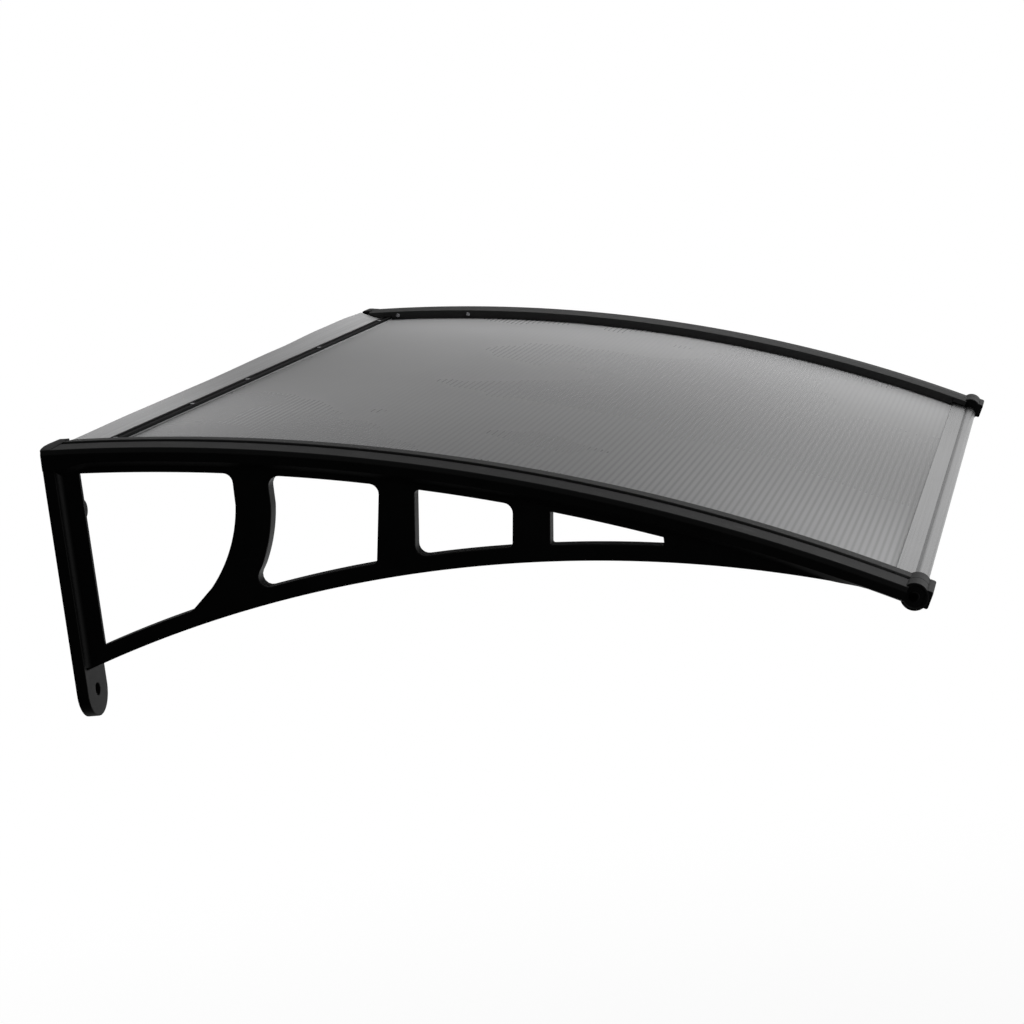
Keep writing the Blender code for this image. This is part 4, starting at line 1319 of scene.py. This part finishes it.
class CANOPY_OT_rear_rail(bpy.types.Operator):
    """Adds the dark channel across the sheet near the wall"""

    bl_idname = "canopy.rear_rail"
    bl_label = "Rear Rail"

    def execute(self, context):
        base = 2 * GAP + SEAL_THICKNESS
        top = base + REAR_RAIL_THICKNESS
        floor = base + REAR_RAIL_FLOOR
        half = RAIL_WIDTH / 2
        inner = half - REAR_RAIL_LIP
        edge = REAR_RAIL_THICKNESS / 4
        corners = [
            ((-half, base), 0), ((-half, top), edge), ((-inner, top), edge),
            ((-inner, floor), edge / 2), ((inner, floor), edge / 2), ((inner, top), edge),
            ((half, top), edge), ((half, base), 0),
        ]
        outline = [arch(RAIL_CENTRE + along, height) for along, height in rounded(corners, 4)]
        mesh = flat_plate([outline], 2 * RAIL_HALF, GAP / 2, lambda y, z, w: (w, y, z))
        finish = rear_rail_material(context.scene.canopy_metal)
        piece("rear_channel", [mesh], finish, ["rear_rail"])
        return {"FINISHED"}


class CANOPY_OT_seal(bpy.types.Operator):
    """Adds the bowed strip between the rear rail and the wall"""

    bl_idname = "canopy.seal"
    bl_label = "Wall Seal"

    def execute(self, context):
        settings = context.scene.canopy_seal
        flat_end = RAIL_CENTRE - RAIL_WIDTH / 2
        outs = spaced(0.0, flat_end, flat_end / 12) + [RAIL_CENTRE, RAIL_CENTRE + RAIL_WIDTH / 2]
        rings = []
        for x in spaced(-RAIL_HALF, RAIL_HALF, 2 * RAIL_HALF / settings.columns):
            low = [(x, *seal_point(x, out)) for out in outs]
            high = [(x, y, z + SEAL_THICKNESS) for _, y, z in reversed(low)]
            rings.append(low + high)
        finish = seal_material(settings)
        piece("seal_strip", [loft(rings)], finish, ["wall_seal"])
        return {"FINISHED"}


class CANOPY_OT_screws(bpy.types.Operator):
    """Adds every screw: under the ledges, in the clamp strips, on the rear rail, in the noses"""

    bl_idname = "canopy.screws"
    bl_label = "Screws"

    def execute(self, context):
        settings = context.scene.canopy_metal
        zinc = screw_material("zinc_screw", settings.screw_colour, 0.26)
        dark = screw_material("black_screw", settings.nose_screw_colour, 0.36)
        seat = LEDGE_TOP - LEDGE_THICKNESS - GAP
        under, inner, ends = [], [], []
        for side in SIDES:
            under += [
                (Vector((side.x(CLAMP_SCREW_INSET), *arch(along, seat))), -up_at(along))
                for along in clamp_screw_places()
            ]
            inner += [
                (Vector((side.x(STRIP_INNER + GAP), *arch(along_at(out), SIDE_SCREW_RISE))),
                 Vector((-side.sign, 0, 0)))
                for out in SIDE_SCREWS
            ]
            ends.append((Vector((side.x(WEB_INSET + NOSE_RECESS - GAP), *front(NOSE_AHEAD, NOSE_RISE))),
                         Vector((side.sign, 0, 0))))
        height = 3 * GAP + SEAL_THICKNESS + REAR_RAIL_FLOOR
        over = arch(RAIL_CENTRE, height)
        across = [
            (Vector((-RAIL_HALF + 2 * RAIL_HALF * share, *over)), up_at(RAIL_CENTRE))
            for share in RAIL_SCREW_SHARES
        ]

        def numbered(kind, count):
            return [f"{side.name}_{kind}_{n}" for side in SIDES for n in range(1, count + 1)]

        screws("clamp_screws", under, CLAMP_SCREW, zinc,
               numbered("clamp_screw", SCREWS_PER_LEDGE), 3)
        screws("side_screws", inner, SIDE_SCREW, zinc,
               numbered("side_screw", len(SIDE_SCREWS)), 5)
        screws("rail_screws", across, RAIL_SCREW, zinc,
               [f"rail_screw_{n + 1}" for n in range(len(RAIL_SCREW_SHARES))], 8)
        screws("nose_screws", ends, NOSE_SCREW, dark,
               [f"{side.name}_nose_screw" for side in SIDES], 2)
        return {"FINISHED"}


def floor_material():
    """Pale floor that shows white to the camera and keeps a faint shadow."""
    made, nodes, shader, place = new_material("pale_floor")
    nodes.fill(shader, {"Base Color": colour(WHITE[:3], 0.62), "Roughness": 0.9})
    seen, glossy = nodes.rays()
    x, y, _ = nodes.split(place)
    away = (x * x + y * y).maths("SQRT")
    # Painted glow, seen only in gloss: the floor shines like the tent, brightest far ahead past the
    # front edge
    ahead = away.step(1.5, 6.0) * (x / away).step(0.7, 0.9) * (y / away).peak(0.0, 0.2)
    mirrored = tent(x / away, y / away) + (x / away).step(0.4, 0.95) * 0.12 + ahead * 1.2
    strength = seen + (1.0 - seen) * mirrored
    light = nodes.add("ShaderNodeEmission", {"Color": WHITE, "Strength": strength})
    share = (seen * (away.step(1.0, 6.0) * 0.12 + 0.88)).maths("MAXIMUM", glossy)
    inputs = {0: share, 1: shader.outputs[0], 2: light.outputs[0]}
    both = nodes.add("ShaderNodeMixShader", inputs)
    nodes.tree.links.new(both.outputs[0], made.node_tree.nodes["Material Output"].inputs[0])
    return made


def tent(x, y):
    """What gloss mirrors all round: dim on the camera's side, brighter past the front edge."""
    return x.step(-0.45, 0.15) * 0.19 + y.step(-0.35, -0.9) * 0.45 + 0.01


def surroundings(world, fill):
    """White behind the canopy; what its gloss mirrors is a soft tent, dim on the camera's side."""
    world.use_nodes = True
    world.node_tree.nodes.clear()
    nodes = Nodes(world.node_tree)
    way = nodes.add("ShaderNodeTexCoord").outputs["Generated"]
    x, y, z = nodes.split(way)
    azimuth = y.maths("ARCTAN2", x) * (180 / pi)
    height = z.maths("ARCSINE") * (180 / pi)
    above = z.step(0.35, 0.9) * 0.35
    band = height.step(-3.0, 3.0) * height.step(26.0, 15.0) * x.step(0.2, 0.8)
    low_glow = height.step(11.2, 8.6) * azimuth.step(14.0, 2.0)
    front_glow = azimuth.step(3.0, -3.5) * 1.5
    glow = (1.0 - (1.0 - low_glow) * (1.0 - front_glow)) * 0.4 + 0.1
    patch = azimuth.peak(13.0, 1.6) * height.peak(8.2, 1.1) * 0.3
    low = height.step(1.5, -1.5) * azimuth.peak(0.0, 11.0) * x.step(0.2, 0.8) * 1.1
    mirrored = (tent(x, y) + above + band * glow + patch + low).maths("MINIMUM", 1.0)
    seen, glossy = nodes.rays()
    strength = seen + (1.0 - seen) * (glossy * mirrored + (1.0 - glossy) * fill)
    light = nodes.add("ShaderNodeBackground", {"Color": WHITE, "Strength": strength})
    nodes.tree.links.new(light.outputs[0], nodes.add("ShaderNodeOutputWorld").inputs[0])


def softbox(name, size, power, place, target):
    """Large soft light, left out of what gloss mirrors."""
    lamp = bpy.data.lights.new(name, "AREA")
    lamp.shape = "RECTANGLE"
    lamp.size = lamp.size_y = size
    lamp.energy = power
    box = new_object(name, lamp)
    box.location = place
    box.rotation_mode = "QUATERNION"
    box.rotation_quaternion = (Vector(place) - Vector(target)).to_track_quat("Z", "Y")
    box.visible_glossy = False


def aimed(azimuth, elevation):
    """Direction from the canopy to a camera at an azimuth and elevation in degrees."""
    a, e = radians(azimuth), radians(elevation)
    return Vector((sin(a) * cos(e), -cos(a) * cos(e), sin(e)))


class CANOPY_OT_stage(bpy.types.Operator):
    """Adds the floor, the soft light, the surroundings and the camera"""

    bl_idname = "canopy.stage"
    bl_label = "Stage"

    def execute(self, context):
        settings = context.scene.canopy_stage
        scene = context.scene
        edit = bmesh.new()
        bmesh.ops.create_circle(edit, cap_ends=True, segments=96, radius=FLOOR_RADIUS)
        mesh = bpy.data.meshes.new("floor")
        edit.to_mesh(mesh)
        edit.free()
        mesh.transform(Matrix.Translation((0.0, 0.0, -settings.floor_drop)))
        mesh.materials.append(floor_material())
        new_object("floor", mesh)
        world = scene.world or bpy.data.worlds.new("studio")
        scene.world = world
        surroundings(world, settings.fill)
        for name, (size, place, target) in LAMPS.items():
            softbox(f"{name}_light", size, getattr(settings, name), place, target)
        camera = bpy.data.cameras.new("camera")
        camera.lens = CAMERA_LENS
        camera.sensor_width = CAMERA_SENSOR
        camera.clip_start, camera.clip_end = 0.05, 100.0
        seen_from = new_object("camera", camera)
        seen_from.location = CAMERA_PLACE
        seen_from.rotation_mode = "QUATERNION"
        level = aimed(CAMERA_AZIMUTH, CAMERA_ELEVATION).to_track_quat("Z", "Y")
        seen_from.rotation_quaternion = level @ Quaternion((0, 0, 1), radians(CAMERA_ROLL))
        scene.camera = seen_from
        scene.view_settings.view_transform = "Standard"
        return {"FINISHED"}


OPERATORS = (
    CANOPY_OT_brackets, CANOPY_OT_clamp_strips, CANOPY_OT_sheet, CANOPY_OT_front_profile,
    CANOPY_OT_rear_rail, CANOPY_OT_seal, CANOPY_OT_screws, CANOPY_OT_stage,
)
SETTINGS = {
    "canopy_moulding": MouldingSettings,
    "canopy_sheet": SheetSettings,
    "canopy_metal": MetalSettings,
    "canopy_seal": SealSettings,
    "canopy_stage": StageSettings,
}


class CANOPY_PT_panel(bpy.types.Panel):
    """Lists the canopy's pieces and their settings"""

    bl_idname = "CANOPY_PT_panel"
    bl_label = "Door Canopy"
    bl_space_type = "VIEW_3D"
    bl_region_type = "UI"
    bl_category = "Canopy"

    def draw(self, context):
        for operator in OPERATORS:
            self.layout.operator(operator.bl_idname)
        for name, group in SETTINGS.items():
            box = self.layout.box()
            for field in group.__annotations__:
                box.prop(getattr(context.scene, name), field)


def register():
    for name, group in SETTINGS.items():
        bpy.utils.register_class(group)
        setattr(bpy.types.Scene, name, PointerProperty(type=group))
    for kind in (*OPERATORS, CANOPY_PT_panel):
        bpy.utils.register_class(kind)


def unregister():
    for kind in (CANOPY_PT_panel, *reversed(OPERATORS)):
        bpy.utils.unregister_class(kind)
    for name, group in SETTINGS.items():
        delattr(bpy.types.Scene, name)
        bpy.utils.unregister_class(group)


def main():
    register()
    bpy.ops.canopy.brackets()
    bpy.ops.canopy.clamp_strips()
    bpy.ops.canopy.sheet()
    bpy.ops.canopy.front_profile()
    bpy.ops.canopy.rear_rail()
    bpy.ops.canopy.seal()
    bpy.ops.canopy.screws()
    bpy.ops.canopy.stage()
    bpy.context.view_layer.update()


if __name__ == "__main__":
    main()
